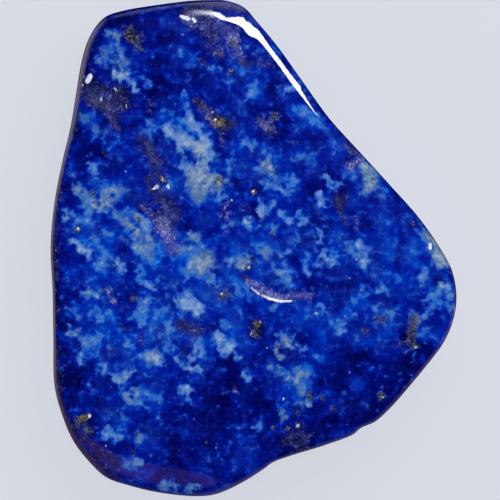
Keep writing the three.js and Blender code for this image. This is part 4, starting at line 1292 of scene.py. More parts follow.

# Painted highlights: single bright sparkles, painted near-white into the colour.
PAINTED_GLINTS = (
    (0.14, 1.0, (-8.65, 8.7), (-8.5, 8.95)),
    (0.06, 0.9, (-8.9, 8.5),),
    (0.08, 1.0, (-7.95, 7.75),),
    (0.06, 0.8, (-7.5, 7.9),),
    (0.05, 0.9, (-7.2, 8.3), (-7.0, 8.15)),
    (0.05, 0.9, (-6.65, 7.35),),
    (0.05, 0.8, (-8.05, 8.4),),
    (0.1, 1.0, (-3.75, 12.05), (-3.4, 11.95)),
    (0.08, 1.0, (-3.15, 11.95), (-3.05, 11.8)),
    (0.05, 0.5, (-5.5, 9.7),),
    (0.08, 1.0, (-2.0, 6.7),),
    (0.06, 0.8, (-2.15, 7.1),),
    (0.11, 1.0, (-4.45, 3.2),),
    (0.07, 1.0, (-5.2, 3.1), (-5.0, 3.2)),
    (0.08, 1.0, (-4.75, 3.6),),
    (0.08, 1.0, (-9.15, 1.02),),
    (0.08, 1.0, (-0.02, 2.95),),
    (0.06, 0.8, (-1.15, 2.5),),
    (0.05, 0.5, (4.95, 4.75),),
    (0.06, 0.55, (5.35, 4.5),),
    (0.05, 0.5, (5.0, 4.2),),
    (0.05, 0.5, (8.35, 1.35),),
    (0.09, 1.0, (9.2, 0.2), (9.2, 0.0)),
    (0.07, 0.9, (-0.25, -1.0),),
    (0.07, 0.8, (-1.65, -2.35),),
    (0.06, 0.7, (-1.6, -0.25),),
    (0.06, 0.9, (3.25, -3.4),),
    (0.07, 0.8, (0.35, -3.85),),
    (0.07, 1.0, (8.45, -5.15),),
    (0.06, 0.7, (8.0, -4.3),),
    (0.06, 1.0, (1.55, -7.85),),
    (0.09, 1.0, (2.3, -9.25),),
    (0.06, 0.8, (4.3, -8.45),),
    (0.06, 0.8, (6.75, -7.75),),
    (0.1, 1.0, (-8.55, -8.75),),
    (0.07, 0.42, (-5.25, -9.5),),
    (0.05, 0.9, (-3.1, -8.9),),
    (0.05, 0.5, (-1.5, -9.65),),
    (0.09, 0.46, (-7.68, -10.3),),
    (0.06, 0.42, (-6.7, -10.8),),
    (0.06, 0.4, (-2.45, -10.15),),
    (0.06, 0.75, (-0.1, -2.08), (0.2, -2.35), (0.7, -2.58)),
    (0.07, 0.85, (0.8, -2.62), (1.3, -2.76), (1.95, -2.76)),
)


@dataclass(frozen=True)
class Layer:
    """How a mineral lies: its streaks on the face, and the blobs scattered where none are laid."""

    mineral: Mineral
    rows: tuple[Streak, ...]
    blobs: int
    widths: Limits
    seed: int
    crisp: bool = False


LAYERS = (
    Layer(Mineral.HAZE_AND_EDGE_LIGHT, HAZE_AND_EDGE_LIGHT, 60, (1.0, 2.0), 32),
    Layer(Mineral.NAVY_AND_SHADE, NAVY_AND_SHADE, 36, (1.0, 2.2), 33),
    Layer(Mineral.PITTED_AND_RIM_SHADE, PITTED_AND_RIM_SHADE, 70, (0.4, 0.8), 34),
    Layer(Mineral.LILAC_AND_LIT_LIP, LILAC_AND_LIT_LIP, 30, (0.4, 0.8), 35),
    Layer(Mineral.OLIVE, OLIVE, 50, (0.35, 0.7), 36),
    Layer(Mineral.GREY, GREY, 60, (0.6, 1.2), 39),
    Layer(Mineral.PYRITE, PYRITE, 90, (0.15, 0.3), 37, crisp=True),
    # Painted glints, also scattered over the flank and back.
    Layer(Mineral.PAINTED_GLINT, PAINTED_GLINTS, 60, (0.07, 0.12), 38, crisp=True),
)


@dataclass
class Mottling:
    """Lays the minerals and the painted light and shade out: as listed on the face, and by seeded
    chance on the flank and back.
    """

    form: StoneForm
    calcite: Layer = Layer(Mineral.CALCITE, CALCITE, 520, (0.35, 0.75), 31)
    layers: tuple[Layer, ...] = LAYERS
    blob_bend: float = 0.18
    fray_cell: float = 0.34
    fray_bend: float = 0.36
    flatness: float = 1.4
    hidden_bend: float = 0.64
    blob_cell: float = 0.7
    blob_strengths: Limits = (0.5, 1.0)
    edge_depth: float = 1.4
    hidden_limits: Limits = (0.2, 1.4)
    depth_gain: float = 1.3
    seed: int = 5
    fray_seed: int = 8
    hidden_seed: int = 14

    def streaks(self, place: Array, rows: tuple[Streak, ...], flat: bool = False) -> Array:
        """How strongly a list of streaks shows at each place.

        A streak's strength falls off as the bell curve of the distance from its path over its half
        width, and more steeply if the streaks are flat. Where streaks meet, what one leaves clear
        is the share that the next can fill.

        Args:
            place: N x 3 places in mm: across, along, and the depth below the face's edge.
            rows: The streaks.
            flat: Whether they are even over most of their width.

        Returns:
            N strengths from 0 to 1.
        """
        clear = np.ones(len(place))
        for half_width, strength, *path in rows:
            ends = [np.array([x, y, 0.0]) for x, y in path]
            nearest = np.full(len(place), np.inf)
            for start, end in zip(ends, ends[1:] or ends):
                along = end - start
                offset = place - start
                way = np.clip(offset @ along / max(along @ along, TINY), 0.0, 1.0)
                nearest = np.minimum(nearest, ((offset - way[:, None] * along) ** 2).sum(axis=1))
            ratio = nearest / half_width**2
            clear *= 1.0 - strength * np.exp(-(ratio**self.flatness if flat else ratio))
        return 1.0 - clear

    def scattered(self, points: Array, layer: Layer) -> Array:
        """Round blobs of one mineral in random places of the stone.

        Args:
            points: N x 3 places in mm.
            layer: The mineral's layer.

        Returns:
            N strengths from 0 to 1.
        """
        random = np.random.default_rng(layer.seed)
        across, along = self.form.width / 2.0, self.form.length / 2.0
        box = (-across, -along, 0.0), (across, along, self.form.thickness)
        centres = random.uniform(*box, (layer.blobs, 3))
        sizes = random.uniform(*layer.widths, layer.blobs)
        strengths = random.uniform(*self.blob_strengths, layer.blobs)
        clear = np.ones(len(points))
        for centre, size, strength in zip(centres, sizes, strengths):
            away = ((points - centre) ** 2).sum(axis=1)
            clear *= 1.0 - strength * np.exp(-away / size**2)
        return 1.0 - clear

    def fields(self, points: Array) -> dict[Mineral, Array]:
        """Every field, of the minerals and of the painted light and shade, at the mesh's points.

        Args:
            points: N x 3 places in mm.

        Returns:
            The fields by mineral.
        """
        edge = self.form.thickness - self.edge_depth
        depth = np.maximum(0.0, edge - points[:, 2])
        hidden = smooth_step(depth, *self.hidden_limits)
        bent = warp(points, self.blob_cell, self.blob_bend, self.seed)
        place, exact = (
            np.stack([spot[:, 0], spot[:, 1], self.depth_gain * depth], axis=1)
            for spot in (bent, points)
        )
        bent_hidden = warp(points, self.blob_cell, self.hidden_bend, self.hidden_seed)
        frayed = warp(place, self.fray_cell, self.fray_bend, self.fray_seed)
        calcite = self.streaks(frayed, self.calcite.rows, flat=True)
        calcite = calcite * (1.0 - self.streaks(frayed, CLEAR, flat=True))
        laid = [(self.calcite, calcite)]
        for layer in self.layers:
            laid.append((layer, self.streaks(exact if layer.crisp else place, layer.rows)))
        seen = 1.0 - hidden
        return {
            layer.mineral: np.maximum(by_hand * seen, self.scattered(bent_hidden, layer) * hidden)
            for layer, by_hand in laid
        }


# -------------------------------------------------------------------------------------------------
# Materials
# -------------------------------------------------------------------------------------------------


def from_screen(red: int, green: int, blue: int) -> Colour:
    """The linear colour that a shader takes for one on a screen, by the formula of sRGB.

    Args:
        red: How red it is, from 0 to 255.
        green: How green it is.
        blue: How blue it is.

    Returns:
        Linear red, green, blue and an alpha of 1.
    """
    parts = [part / 255.0 for part in (red, green, blue)]
    linear = [
        part / 12.92 if part <= 0.04045 else ((part + 0.055) / 1.055) ** 2.4 for part in parts
    ]
    return (*linear, 1.0)


def shades(*stops: tuple[float, int, int, int]) -> Ramp:
    """A ramp from stops that each give a place and a colour as it shows on a screen."""
    return tuple((place, from_screen(*colour)) for place, *colour in stops)


class Graph:
    """Adds nodes to a material's or a group's tree and joins them."""

    def __init__(self, tree: bpy.types.NodeTree) -> None:
        """Starts on the tree that the nodes go into."""
        self.tree = tree

    def put(self, socket: Socket, value: object) -> None:
        """Joins a socket to an output, or sets its value if value isn't one.

        Args:
            socket: The input socket.
            value: An output socket, a number, a colour or a vector.
        """
        if isinstance(value, Socket):
            self.tree.links.new(value, socket)
        else:
            socket.default_value = value

    def node(self, kind: str, **inputs: object) -> Node:
        """A node with some of its inputs joined or set.

        Args:
            kind: The node's type.
            inputs: Values by input name, with _ for a space.

        Returns:
            The node.
        """
        node = self.tree.nodes.new(kind)
        for name, value in inputs.items():
            self.put(node.inputs[name.replace("_", " ")], value)
        return node

    def math(self, operation: str, *values: object, clamp: bool = False) -> Socket:
        """An operation on numbers, such as a sum or a product.

        Args:
            operation: The Math node's operation.
            values: Its numbers.
            clamp: Whether the result is kept between 0 and 1.

        Returns:
            The result's socket.
        """
        node = self.tree.nodes.new("ShaderNodeMath")
        node.operation = operation
        node.use_clamp = clamp
        for socket, value in zip(node.inputs, values):
            self.put(socket, value)
        return node.outputs[0]

    def step(self, value: object, low: object, high: object) -> Socket:
        """A smooth step from 0 at low to 1 at high.

        Args:
            value: What is stepped.
            low: Where it starts.
            high: Where it ends.

        Returns:
            The step's socket.
        """
        node = self.tree.nodes.new("ShaderNodeMapRange")
        node.interpolation_type = "SMOOTHSTEP"
        for name, number in (("Value", value), ("From Min", low), ("From Max", high)):
            self.put(node.inputs[name], number)
        return node.outputs["Result"]

    def mix(self, share: object, first: object, second: object) -> Socket:
        """A blend of two colours.

        Args:
            share: How much of the second shows.
            first: A colour.
            second: Another.

        Returns:
            The blend's socket.
        """
        node = self.tree.nodes.new("ShaderNodeMix")
        node.data_type = "RGBA"
        for index, value in zip(MIX_INPUTS, (share, first, second)):
            self.put(node.inputs[index], value)
        return node.outputs[MIX_OUTPUT]

    def add(self, share: object, first: object, second: object) -> Socket:
        """A colour plus a share of another.

        Args:
            share: How much of the second is added.
            first: A colour.
            second: Another.

        Returns:
            The sum's socket.
        """
        total = self.mix(share, first, second)
        total.node.blend_type = "ADD"
        return total

    def noise(self, place: object, scale: float, detail: float, roughness: float) -> Node:
        """A noise: its cells in a mm, and how many finer octaves there are and how strong."""
        return self.node(
            "ShaderNodeTexNoise", Vector=place, Scale=scale, Detail=detail, Roughness=roughness
        )

    def cells(self, place: object, scale: float, smoothness: float = 0.0) -> Node:
        """A cell texture, with random cells that have sharp or blended borders.

        Args:
            place: The coordinates' socket, in mm.
            scale: How many cells there are in a mm.
            smoothness: How far neighbouring cells are blended.

        Returns:
            The node.
        """
        node = self.node("ShaderNodeTexVoronoi", Vector=place, Scale=scale)
        if smoothness:
            node.feature = "SMOOTH_F1"
            node.inputs["Smoothness"].default_value = smoothness
        return node

    def part(self, colour: Socket, index: int) -> Socket:
        """One channel of a colour: 0 for red, 1 for green or 2 for blue."""
        node = self.tree.nodes.new("ShaderNodeSeparateColor")
        self.put(node.inputs[0], colour)
        return node.outputs[index]

    def ramp(self, value: object, stops: Ramp) -> Socket:
        """A colour that follows a number through given stops.

        Args:
            value: The number.
            stops: Places from 0 to 1, each with its colour.

        Returns:
            The colour's socket.
        """
        node = self.tree.nodes.new("ShaderNodeValToRGB")
        elements = node.color_ramp.elements
        while len(elements) < len(stops):
            elements.new(1.0)
        for element, (place, colour) in zip(elements, stops):
            element.position = place
            element.color = colour
        self.put(node.inputs[0], value)
        return node.outputs[0]

    def field(self, mineral: Mineral) -> Socket:
        """A mineral's field, read from the mesh.

        Args:
            mineral: Which one.

        Returns:
            The field's socket.
        """
        node = self.tree.nodes.new("ShaderNodeAttribute")
        node.attribute_type = "GEOMETRY"
        node.attribute_name = mineral.value
        return node.outputs["Fac"]


@dataclass(frozen=True)
class GroupMaker:
    """Makes a shader node group with named sockets."""

    name: str

    def start(
        self, inputs: tuple[str, ...], outputs: tuple[str, ...]
    ) -> tuple[Graph, Node, Node]:
        """An empty group. A socket named Place is a vector, and the others are numbers.

        Args:
            inputs: The names of its inputs.
            outputs: The names of its outputs.

        Returns:
            The group's graph, and its input and output nodes.
        """
        tree = bpy.data.node_groups.new(self.name, "ShaderNodeTree")
        for names, side in ((inputs, "INPUT"), (outputs, "OUTPUT")):
            for name in names:
                kind = "NodeSocketVector" if name == "Place" else "NodeSocketFloat"
                tree.interface.new_socket(name, in_out=side, socket_type=kind)
        entry, leave = (tree.nodes.new(kind) for kind in ("NodeGroupInput", "NodeGroupOutput"))
        return Graph(tree), entry, leave


@dataclass(frozen=True)
class RockGrain:
    """The rock's random structure, from clouds to specks.

    The crystals are cells with blended borders, each with its own value, and the lobes are round
    humps on cells of another size. The pores are the middles of a few small cells, and the painted
    sparkle, dots that the material paints near-white as highlights, is the middles of fewer ones. A
    noise has a name, cells in a mm, finer octaves, and how strong those are.
    """

    bend: float = 0.24
    bend_noise: tuple[float, float, float] = (2.6, 2.0, 0.55)
    noises: tuple[tuple[str, float, float, float], ...] = (
        ("Cloud", 0.5, 2.0, 0.5),
        ("Shade", 0.9, 2.0, 0.6),
        ("Clump", 1.4, 2.0, 0.55),
        ("Ragged", 3.4, 1.0, 0.45),
        ("Speck", 11.0, 1.0, 0.5),
    )
    noise_limits: Limits = (0.25, 0.75)
    crystal_scale: float = 3.6
    crystal_blend: float = 0.35
    lobe_scale: float = 3.0
    lobe_middle: float = 0.42
    lobe_gain: float = 1.6
    pore_scale: float = 3.4
    pore_radius: float = 0.26
    pore_share: float = 0.2
    # Painted sparkle: the dots that the material paints near-white as highlights.
    painted_sparkle_scale: float = 3.0
    painted_sparkle_radius: float = 0.13
    painted_sparkle_share: float = 0.03
    dot_core: float = 0.5

    def dots(
        self, graph: Graph, place: Socket, scale: float, radius: float, share: float
    ) -> Socket:
        """Soft discs in the middles of the cells whose random value is under the share.

        Args:
            graph: The group's graph.
            place: The coordinates' socket, in mm.
            scale: How many cells there are in a mm.
            radius: The dots' radius as a share of a cell.
            share: How many of the cells have a dot.

        Returns:
            The dots' mask.
        """
        cells = graph.cells(place, scale)
        disc = graph.step(cells.outputs["Distance"], radius, self.dot_core * radius)
        chosen = graph.math("LESS_THAN", graph.part(cells.outputs["Color"], 0), share)
        return graph.math("MULTIPLY", disc, chosen)

    def group(self) -> bpy.types.NodeTree:
        """Builds the group: Place in mm goes in, and the structures come out.

        Returns:
            The node group.
        """
        names = [name for name, *_ in self.noises] + ["Crystals", "Lobes", "Pores", "Painted Sparkle"]
        graph, entry, leave = GroupMaker("rock_grain").start(("Place",), tuple(names))
        place = entry.outputs["Place"]
        bend = graph.noise(place, *self.bend_noise)
        centred = graph.tree.nodes.new("ShaderNodeVectorMath")
        centred.operation = "SUBTRACT"
        graph.put(centred.inputs[0], bend.outputs["Color"])
        centred.inputs[1].default_value = (MIDDLE,) * 3
        moved = graph.tree.nodes.new("ShaderNodeVectorMath")
        moved.operation = "MULTIPLY_ADD"
        graph.put(moved.inputs[0], centred.outputs[0])
        moved.inputs[1].default_value = (self.bend,) * 3
        graph.put(moved.inputs[2], place)
        place = moved.outputs[0]
        low, high = self.noise_limits
        for name, scale, detail, roughness in self.noises:
            raw = graph.noise(place, scale, detail, roughness)
            spread = graph.node("ShaderNodeMapRange", From_Min=low, From_Max=high)
            spread.clamp = False
            graph.put(spread.inputs["Value"], raw.outputs[0])
            graph.put(leave.inputs[name], spread.outputs["Result"])
        crystals = graph.cells(place, self.crystal_scale, self.crystal_blend)
        graph.put(leave.inputs["Crystals"], graph.part(crystals.outputs["Color"], 1))
        distance = graph.cells(place, self.lobe_scale).outputs["Distance"]
        hump = graph.math("SUBTRACT", self.lobe_middle, distance)
        graph.put(leave.inputs["Lobes"], graph.math("MULTIPLY_ADD", hump, self.lobe_gain, MIDDLE))
        pores = (self.pore_scale, self.pore_radius, self.pore_share)
        graph.put(leave.inputs["Pores"], self.dots(graph, place, *pores))
        painted_sparkle = (self.painted_sparkle_scale, self.painted_sparkle_radius, self.painted_sparkle_share)
        graph.put(leave.inputs["Painted Sparkle"], self.dots(graph, place, *painted_sparkle))
        return graph.tree


@dataclass(frozen=True)
class RaggedMask:
    """Turns a mineral's smooth field into a mask whose border is as ragged as the rock's grain."""

    def group(self) -> bpy.types.NodeTree:
        """Builds the group: the field plus shares of two noises, stepped between Low and High.

        Returns:
            The node group.
        """
        names = ("Field", "Coarse", "Coarse Share", "Fine", "Fine Share", "Low", "High")
        graph, entry, leave = GroupMaker("ragged_mask").start(names, ("Mask",))
        value = entry.outputs["Field"]
        for noise, share in (("Coarse", "Coarse Share"), ("Fine", "Fine Share")):
            centred = graph.math("SUBTRACT", entry.outputs[noise], MIDDLE)
            value = graph.math("MULTIPLY_ADD", centred, entry.outputs[share], value)
        mask = graph.step(value, entry.outputs["Low"], entry.outputs["High"])
        graph.put(leave.inputs["Mask"], mask)
        return graph.tree


@dataclass(frozen=True)
class Border:
    """How a mineral's border is broken up: by two of the grain's structures, between two limits."""

    mineral: Mineral
    coarse: tuple[str, float]
    fine: tuple[str, float]
    limits: Limits


class RockGraph(Graph):
    """A material's graph with the rock's grain in it."""

    def __init__(self, tree: bpy.types.NodeTree) -> None:
        """Clears the tree, and places the grain on Object coordinates in mm.

        Args:
            tree: The material's tree.
        """
        super().__init__(tree)
        tree.nodes.clear()
        coordinates = tree.nodes.new("ShaderNodeTexCoord")
        in_mm = self.node("ShaderNodeMapping", Vector=coordinates.outputs["Object"])
        in_mm.inputs["Scale"].default_value = (1.0 / MM,) * 3
        grain = tree.nodes.new("ShaderNodeGroup")
        grain.node_tree = RockGrain().group()
        self.put(grain.inputs["Place"], in_mm.outputs[0])
        self.grain = grain.outputs
        self.ragged = RaggedMask().group()

    def masked(self, border: Border) -> Socket:
        """A mineral's ragged mask.

        Args:
            border: The mineral, and how its border is broken up.

        Returns:
            The mask's socket.
        """
        node = self.tree.nodes.new("ShaderNodeGroup")
        node.node_tree = self.ragged
        self.put(node.inputs["Field"], self.field(border.mineral))
        for name, (noise, share) in (("Coarse", border.coarse), ("Fine", border.fine)):
            self.put(node.inputs[name], self.grain[noise])
            self.put(node.inputs[f"{name} Share"], share)
        for name, limit in zip(("Low", "High"), border.limits):
            self.put(node.inputs[name], limit)
        return node.outputs["Mask"]

    def mixed(self, value: object, shares: Shares) -> Socket:
        """A value plus shares of the grain's structures, each of them taken from its middle.

        Args:
            value: What they are added to.
            shares: The structures' names and shares.

        Returns:
            The sum's socket.
        """
        for name, share in shares:
            centred = self.math("SUBTRACT", self.grain[name], MIDDLE)
            value = self.math("MULTIPLY_ADD", centred, share, value)
        return value


@dataclass(frozen=True)
class PolishedLapis:
    """Polished lapis lazuli: mottled blue, pale calcite, dark pitted grains, stain, pyrite, painted
    light.
    """

    polish: float = 0.09
    pitted_roughness: float = 0.24
    pyrite_roughness: float = 0.3
    ior: float = 1.5
    pit_depth: float = 0.06
    ground: float = 0.338
    navy_and_shade_share: float = 0.24
    haze_and_edge_light_share: float = 0.63
    mottling: Shares = (("Cloud", 0.34), ("Clump", 0.34), ("Ragged", 0.13), ("Speck", 0.05))
    flecks: Shares = (("Ragged", 0.9), ("Crystals", 0.5), ("Clump", 0.6), ("Speck", 0.3))
    fleck_limits: Limits = (-0.1, 0.65)
    fleck_share: float = 0.47
    fleck_least: float = 0.22
    navy_and_shade_calm: float = 0.6
    halo_breaking: Shares = (("Clump", 0.3), ("Ragged", 0.2), ("Lobes", 0.2))
    halo_limits: Limits = (-0.05, 0.55)
    halo_share: float = 0.32
    dull_from: float = 0.22
    dulling: Shares = (("Shade", 1.0), ("Crystals", 0.4))
    calcite_breaking: Shares = (
        ("Clump", 0.25),
        ("Lobes", 0.36),
        ("Ragged", 0.5),
        ("Crystals", 0.2),
        ("Speck", 0.14),
    )
    calcite_limits: Limits = (0.1, 0.66)
    calcite_cover: float = 0.95
    pore_cover: float = 0.6
    tone_from: float = 0.04
    tone_gain: float = 0.43
    toning: Shares = (("Shade", 0.2), ("Crystals", 0.2), ("Speck", 0.14))
    purple_from: float = 0.29
    lilac_gain: float = 0.46
    speckling: Shares = (("Speck", 0.8), ("Ragged", 0.5))
    pitted_and_rim_shade_cover: float = 0.85
    bump: float = 0.07
    weathering: Shares = (("Shade", 0.6), ("Ragged", 0.3), ("Crystals", 0.3))
    weathered_limits: Limits = (0.06, 0.78)
    grey_share: float = 0.8
    blues: Ramp = shades(
        (0.0, 0, 4, 82),
        (0.15, 0, 10, 110),
        (0.3, 0, 21, 142),
        (0.45, 0, 37, 166),
        (0.6, 0, 57, 184),
        (0.75, 4, 83, 200),
        (0.9, 26, 110, 210),
        (1.0, 60, 132, 218),
    )
    greys: Ramp = shades(
        (0.0, 2, 5, 72),
        (0.15, 4, 11, 90),
        (0.3, 8, 24, 114),
        (0.45, 16, 40, 134),
        (0.6, 29, 60, 152),
        (0.75, 48, 84, 166),
        (1.0, 92, 122, 180),
    )
    calcites: Ramp = shades(
        (0.0, 6, 56, 168),
        (0.3, 26, 84, 186),
        (0.5, 54, 108, 195),
        (0.7, 88, 130, 201),
        (0.85, 116, 151, 208),
        (1.0, 150, 177, 216),
    )
    weathered: Ramp = shades(
        (0.0, 16, 50, 128),
        (0.3, 40, 74, 144),
        (0.5, 68, 100, 158),
        (0.7, 98, 126, 170),
        (0.85, 126, 149, 178),
        (1.0, 156, 174, 190),
    )
    purples: Ramp = shades(
        (0.0, 8, 5, 42),
        (0.2, 16, 14, 66),
        (0.45, 34, 36, 96),
        (0.65, 58, 63, 130),
        (0.85, 94, 102, 168),
        (1.0, 158, 160, 212),
    )
    lilac_and_lit_lip: Colour = from_screen(84, 96, 214)
    lilac_tint: float = 0.34
    olive: Colour = from_screen(104, 110, 110)
    dark_olive: Colour = from_screen(22, 28, 56)
    olive_limits: Limits = (0.15, 0.95)
    olive_cover: float = 0.68
    soot_limits: Limits = (0.02, 0.3)
    soot_grain: Limits = (0.7, 0.3)
    soot_cover: float = 0.7
    gold: Colour = from_screen(138, 132, 106)
    dark_gold: Colour = from_screen(20, 18, 38)
    gold_limits: Limits = (0.1, 0.9)
    pyrite_metal: float = 0.4
    olive_wear: float = 0.4
    painted_sparkle_cover: float = 0.6
    # The near-white of the painted glints and sparkles.
    painted_highlight_white: Colour = from_screen(222, 228, 246)
    borders: tuple[Border, ...] = (
        Border(Mineral.PITTED_AND_RIM_SHADE, ("Ragged", 0.6), ("Speck", 0.45), (0.22, 0.85)),
        Border(Mineral.OLIVE, ("Clump", 0.3), ("Ragged", 0.7), (0.3, 0.9)),
        Border(Mineral.PYRITE, ("Ragged", 0.5), ("Speck", 0.5), (0.4, 0.75)),
        Border(Mineral.PAINTED_GLINT, ("Ragged", 0.1), ("Speck", 0.3), (0.3, 0.55)),
    )

    def blue(self, graph: RockGraph) -> Socket:
        """The blue rock: mottled, darker in navy clouds and painted shadow, paler round calcite,
        duller in places.

        Args:
            graph: The material's graph.

        Returns:
            The colour's socket.
        """
        value = graph.math("MULTIPLY_ADD", graph.field(Mineral.NAVY_AND_SHADE), -self.navy_and_shade_share, self.ground)
        value = graph.mixed(value, self.mottling)
        value = graph.math("MULTIPLY_ADD", graph.field(Mineral.HAZE_AND_EDGE_LIGHT), self.haze_and_edge_light_share, value)
        near = graph.mixed(graph.field(Mineral.CALCITE), self.halo_breaking)
        near = graph.step(near, *self.halo_limits)
        value = graph.math("MULTIPLY_ADD", near, self.halo_share, value)
        flecks = graph.step(graph.mixed(0.0, self.flecks), *self.fleck_limits)
        calm = graph.math("MULTIPLY_ADD", graph.field(Mineral.NAVY_AND_SHADE), -self.navy_and_shade_calm, 1.0)
        more = self.fleck_share - self.fleck_least
        strength = graph.math("MULTIPLY_ADD", near, more, self.fleck_least)
        strength = graph.math("MULTIPLY", strength, calm)
        value = graph.math("MULTIPLY_ADD", flecks, strength, value)
        dull = graph.mixed(self.dull_from, self.dulling)
        dull = graph.math("MULTIPLY", dull, 1.0, clamp=True)
        return graph.mix(dull, graph.ramp(value, self.blues), graph.ramp(value, self.greys))

    def with_calcite(self, graph: RockGraph, colour: Socket) -> Socket:
        """Lays calcite over a colour: lobed patches, paler where strong, with small dark holes.

        Args:
            graph: The material's graph.
            colour: The rock's colour.

        Returns:
            The colour's socket.
        """
        broken = graph.mixed(graph.field(Mineral.CALCITE), self.calcite_breaking)
        mask = graph.math("MULTIPLY", graph.step(broken, *self.calcite_limits), self.calcite_cover)
        solid = graph.math("MULTIPLY_ADD", graph.grain["Pores"], -self.pore_cover, 1.0)
        tone = graph.math("ADD", broken, graph.field(Mineral.CALCITE))
        tone = graph.math("MULTIPLY_ADD", tone, self.tone_gain, self.tone_from)
        tone = graph.mixed(tone, self.toning)
        grey = graph.math("MULTIPLY", graph.field(Mineral.GREY), self.grey_share)
        grey = graph.mixed(grey, self.weathering)
        weathered = graph.step(grey, *self.weathered_limits)
        fresh, dull = graph.ramp(tone, self.calcites), graph.ramp(tone, self.weathered)
        calcite = graph.mix(weathered, fresh, dull)
        return graph.mix(graph.math("MULTIPLY", mask, solid), colour, calcite)

    def material(self) -> bpy.types.Material:
        """Builds the material.

        Returns:
            The finished material.
        """
        material = bpy.data.materials.new("polished_lapis")
        material.use_nodes = True
        graph = RockGraph(material.node_tree)
        speck = graph.grain["Speck"]
        pitted_and_rim_shade, olive, pyrite, painted_glint = (graph.masked(border) for border in self.borders)

        colour = self.with_calcite(graph, self.blue(graph))
        lilac_and_lit_lip = graph.field(Mineral.LILAC_AND_LIT_LIP)
        purple = graph.math("MULTIPLY_ADD", lilac_and_lit_lip, self.lilac_gain, self.purple_from)
        purple = graph.ramp(graph.mixed(purple, self.speckling), self.purples)
        purple = graph.mix(graph.math("MULTIPLY", lilac_and_lit_lip, self.lilac_tint), purple, self.lilac_and_lit_lip)
        colour = graph.mix(graph.math("MULTIPLY", pitted_and_rim_shade, self.pitted_and_rim_shade_cover), colour, purple)
        stain = graph.mix(graph.step(speck, *self.olive_limits), self.dark_olive, self.olive)
        colour = graph.mix(graph.math("MULTIPLY", olive, self.olive_cover), colour, stain)
        soot = graph.step(graph.field(Mineral.PYRITE), *self.soot_limits)
        soot = graph.math("MULTIPLY", soot, graph.step(speck, *self.soot_grain))
        colour = graph.mix(graph.math("MULTIPLY", soot, self.soot_cover), colour, self.dark_gold)
        metal = graph.mix(graph.step(speck, *self.gold_limits), self.dark_gold, self.gold)
        colour = graph.mix(pyrite, colour, metal)
        # Painted highlights: glints and sparkle dots painted near-white into the colour.
        painted_sparkle = graph.math("MULTIPLY", graph.grain["Painted Sparkle"], self.painted_sparkle_cover)
        colour = graph.mix(graph.math("MAXIMUM", painted_glint, painted_sparkle), colour, self.painted_highlight_white)

        worn = graph.math("MAXIMUM", pitted_and_rim_shade, graph.math("MULTIPLY", olive, self.olive_wear))
        rough = graph.math("MULTIPLY_ADD", worn, self.pitted_roughness - self.polish, self.polish)
        rough = graph.math("MAXIMUM", rough, graph.math("MULTIPLY", pyrite, self.pyrite_roughness))
        relief = graph.math("MULTIPLY", speck, worn)
        bump = graph.node("ShaderNodeBump", Height=relief, Strength=self.bump)
        bump.inputs["Distance"].default_value = self.pit_depth * MM
        shader = graph.node(
            "ShaderNodeBsdfPrincipled",
            Base_Color=colour,
            Roughness=rough,
            Metallic=graph.math("MULTIPLY", pyrite, self.pyrite_metal),
            IOR=self.ior,
            Normal=bump.outputs["Normal"],
        )
        output = graph.tree.nodes.new("ShaderNodeOutputMaterial")
        graph.put(output.inputs["Surface"], shader.outputs[0])
        return material


# -------------------------------------------------------------------------------------------------
# The piece
# -------------------------------------------------------------------------------------------------


@dataclass
class Nugget:
    """The dressed stone, which stands for the CAD one."""

    form: StoneForm
    name: str = "polished_lapis_nugget"

    def make_object(self) -> bpy.types.Object:
        """Writes the skin and its fields, of minerals and of painted light and shade, into a mesh.

        Returns:
            The stone's object, at the origin.
        """
        skin = StoneMesh(self.form)
        points, parts = skin.build()
        mesh = bpy.data.meshes.new(self.name)
        faces = [row for part in parts for row in part.tolist()]
        mesh.from_pydata((points * MM).tolist(), [], faces)
        for mineral, values in Mottling(self.form).fields(points).items():
            layer = mesh.attributes.new(mineral.value, "FLOAT", "POINT")
            layer.data.foreach_set("value", values.astype(np.float32))
        mesh.polygons.foreach_set("use_smooth", np.ones(len(mesh.polygons), dtype=bool))
        ends = np.empty(2 * len(mesh.edges), dtype=np.int32)
        mesh.edges.foreach_get("vertices", ends)
        sharp = mesh.attributes.new("sharp_edge", "BOOLEAN", "EDGE")
        sharp.data.foreach_set("value", skin.creased(ends))
        mesh.update()
        stone = bpy.data.objects.new(self.name, mesh)
        bpy.context.scene.collection.objects.link(stone)
        return stone

    def build(self) -> bpy.types.Object:
        """Makes the stone, dresses it, hides the CAD part that it stands for, and attaches it to
        the root body.

        Returns:
            The stone's object.
        """
        stone = self.make_object()
        stone.data.materials.append(PolishedLapis().material())
        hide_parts(NODE)
        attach(stone, "root")
        return stone


# -------------------------------------------------------------------------------------------------
# The studio
# -------------------------------------------------------------------------------------------------


def from_sky(azimuth: float, zenith: float) -> Vector3:
    """A direction as a unit vector.

    Args:
        azimuth: Degrees round +Z, from +X.
        zenith: Degrees away from +Z.

    Returns:
        The vector.
    """
    around, down = math.radians(azimuth), math.radians(zenith)
    level = math.sin(down)
    return (math.cos(around) * level, math.sin(around) * level, math.cos(down))


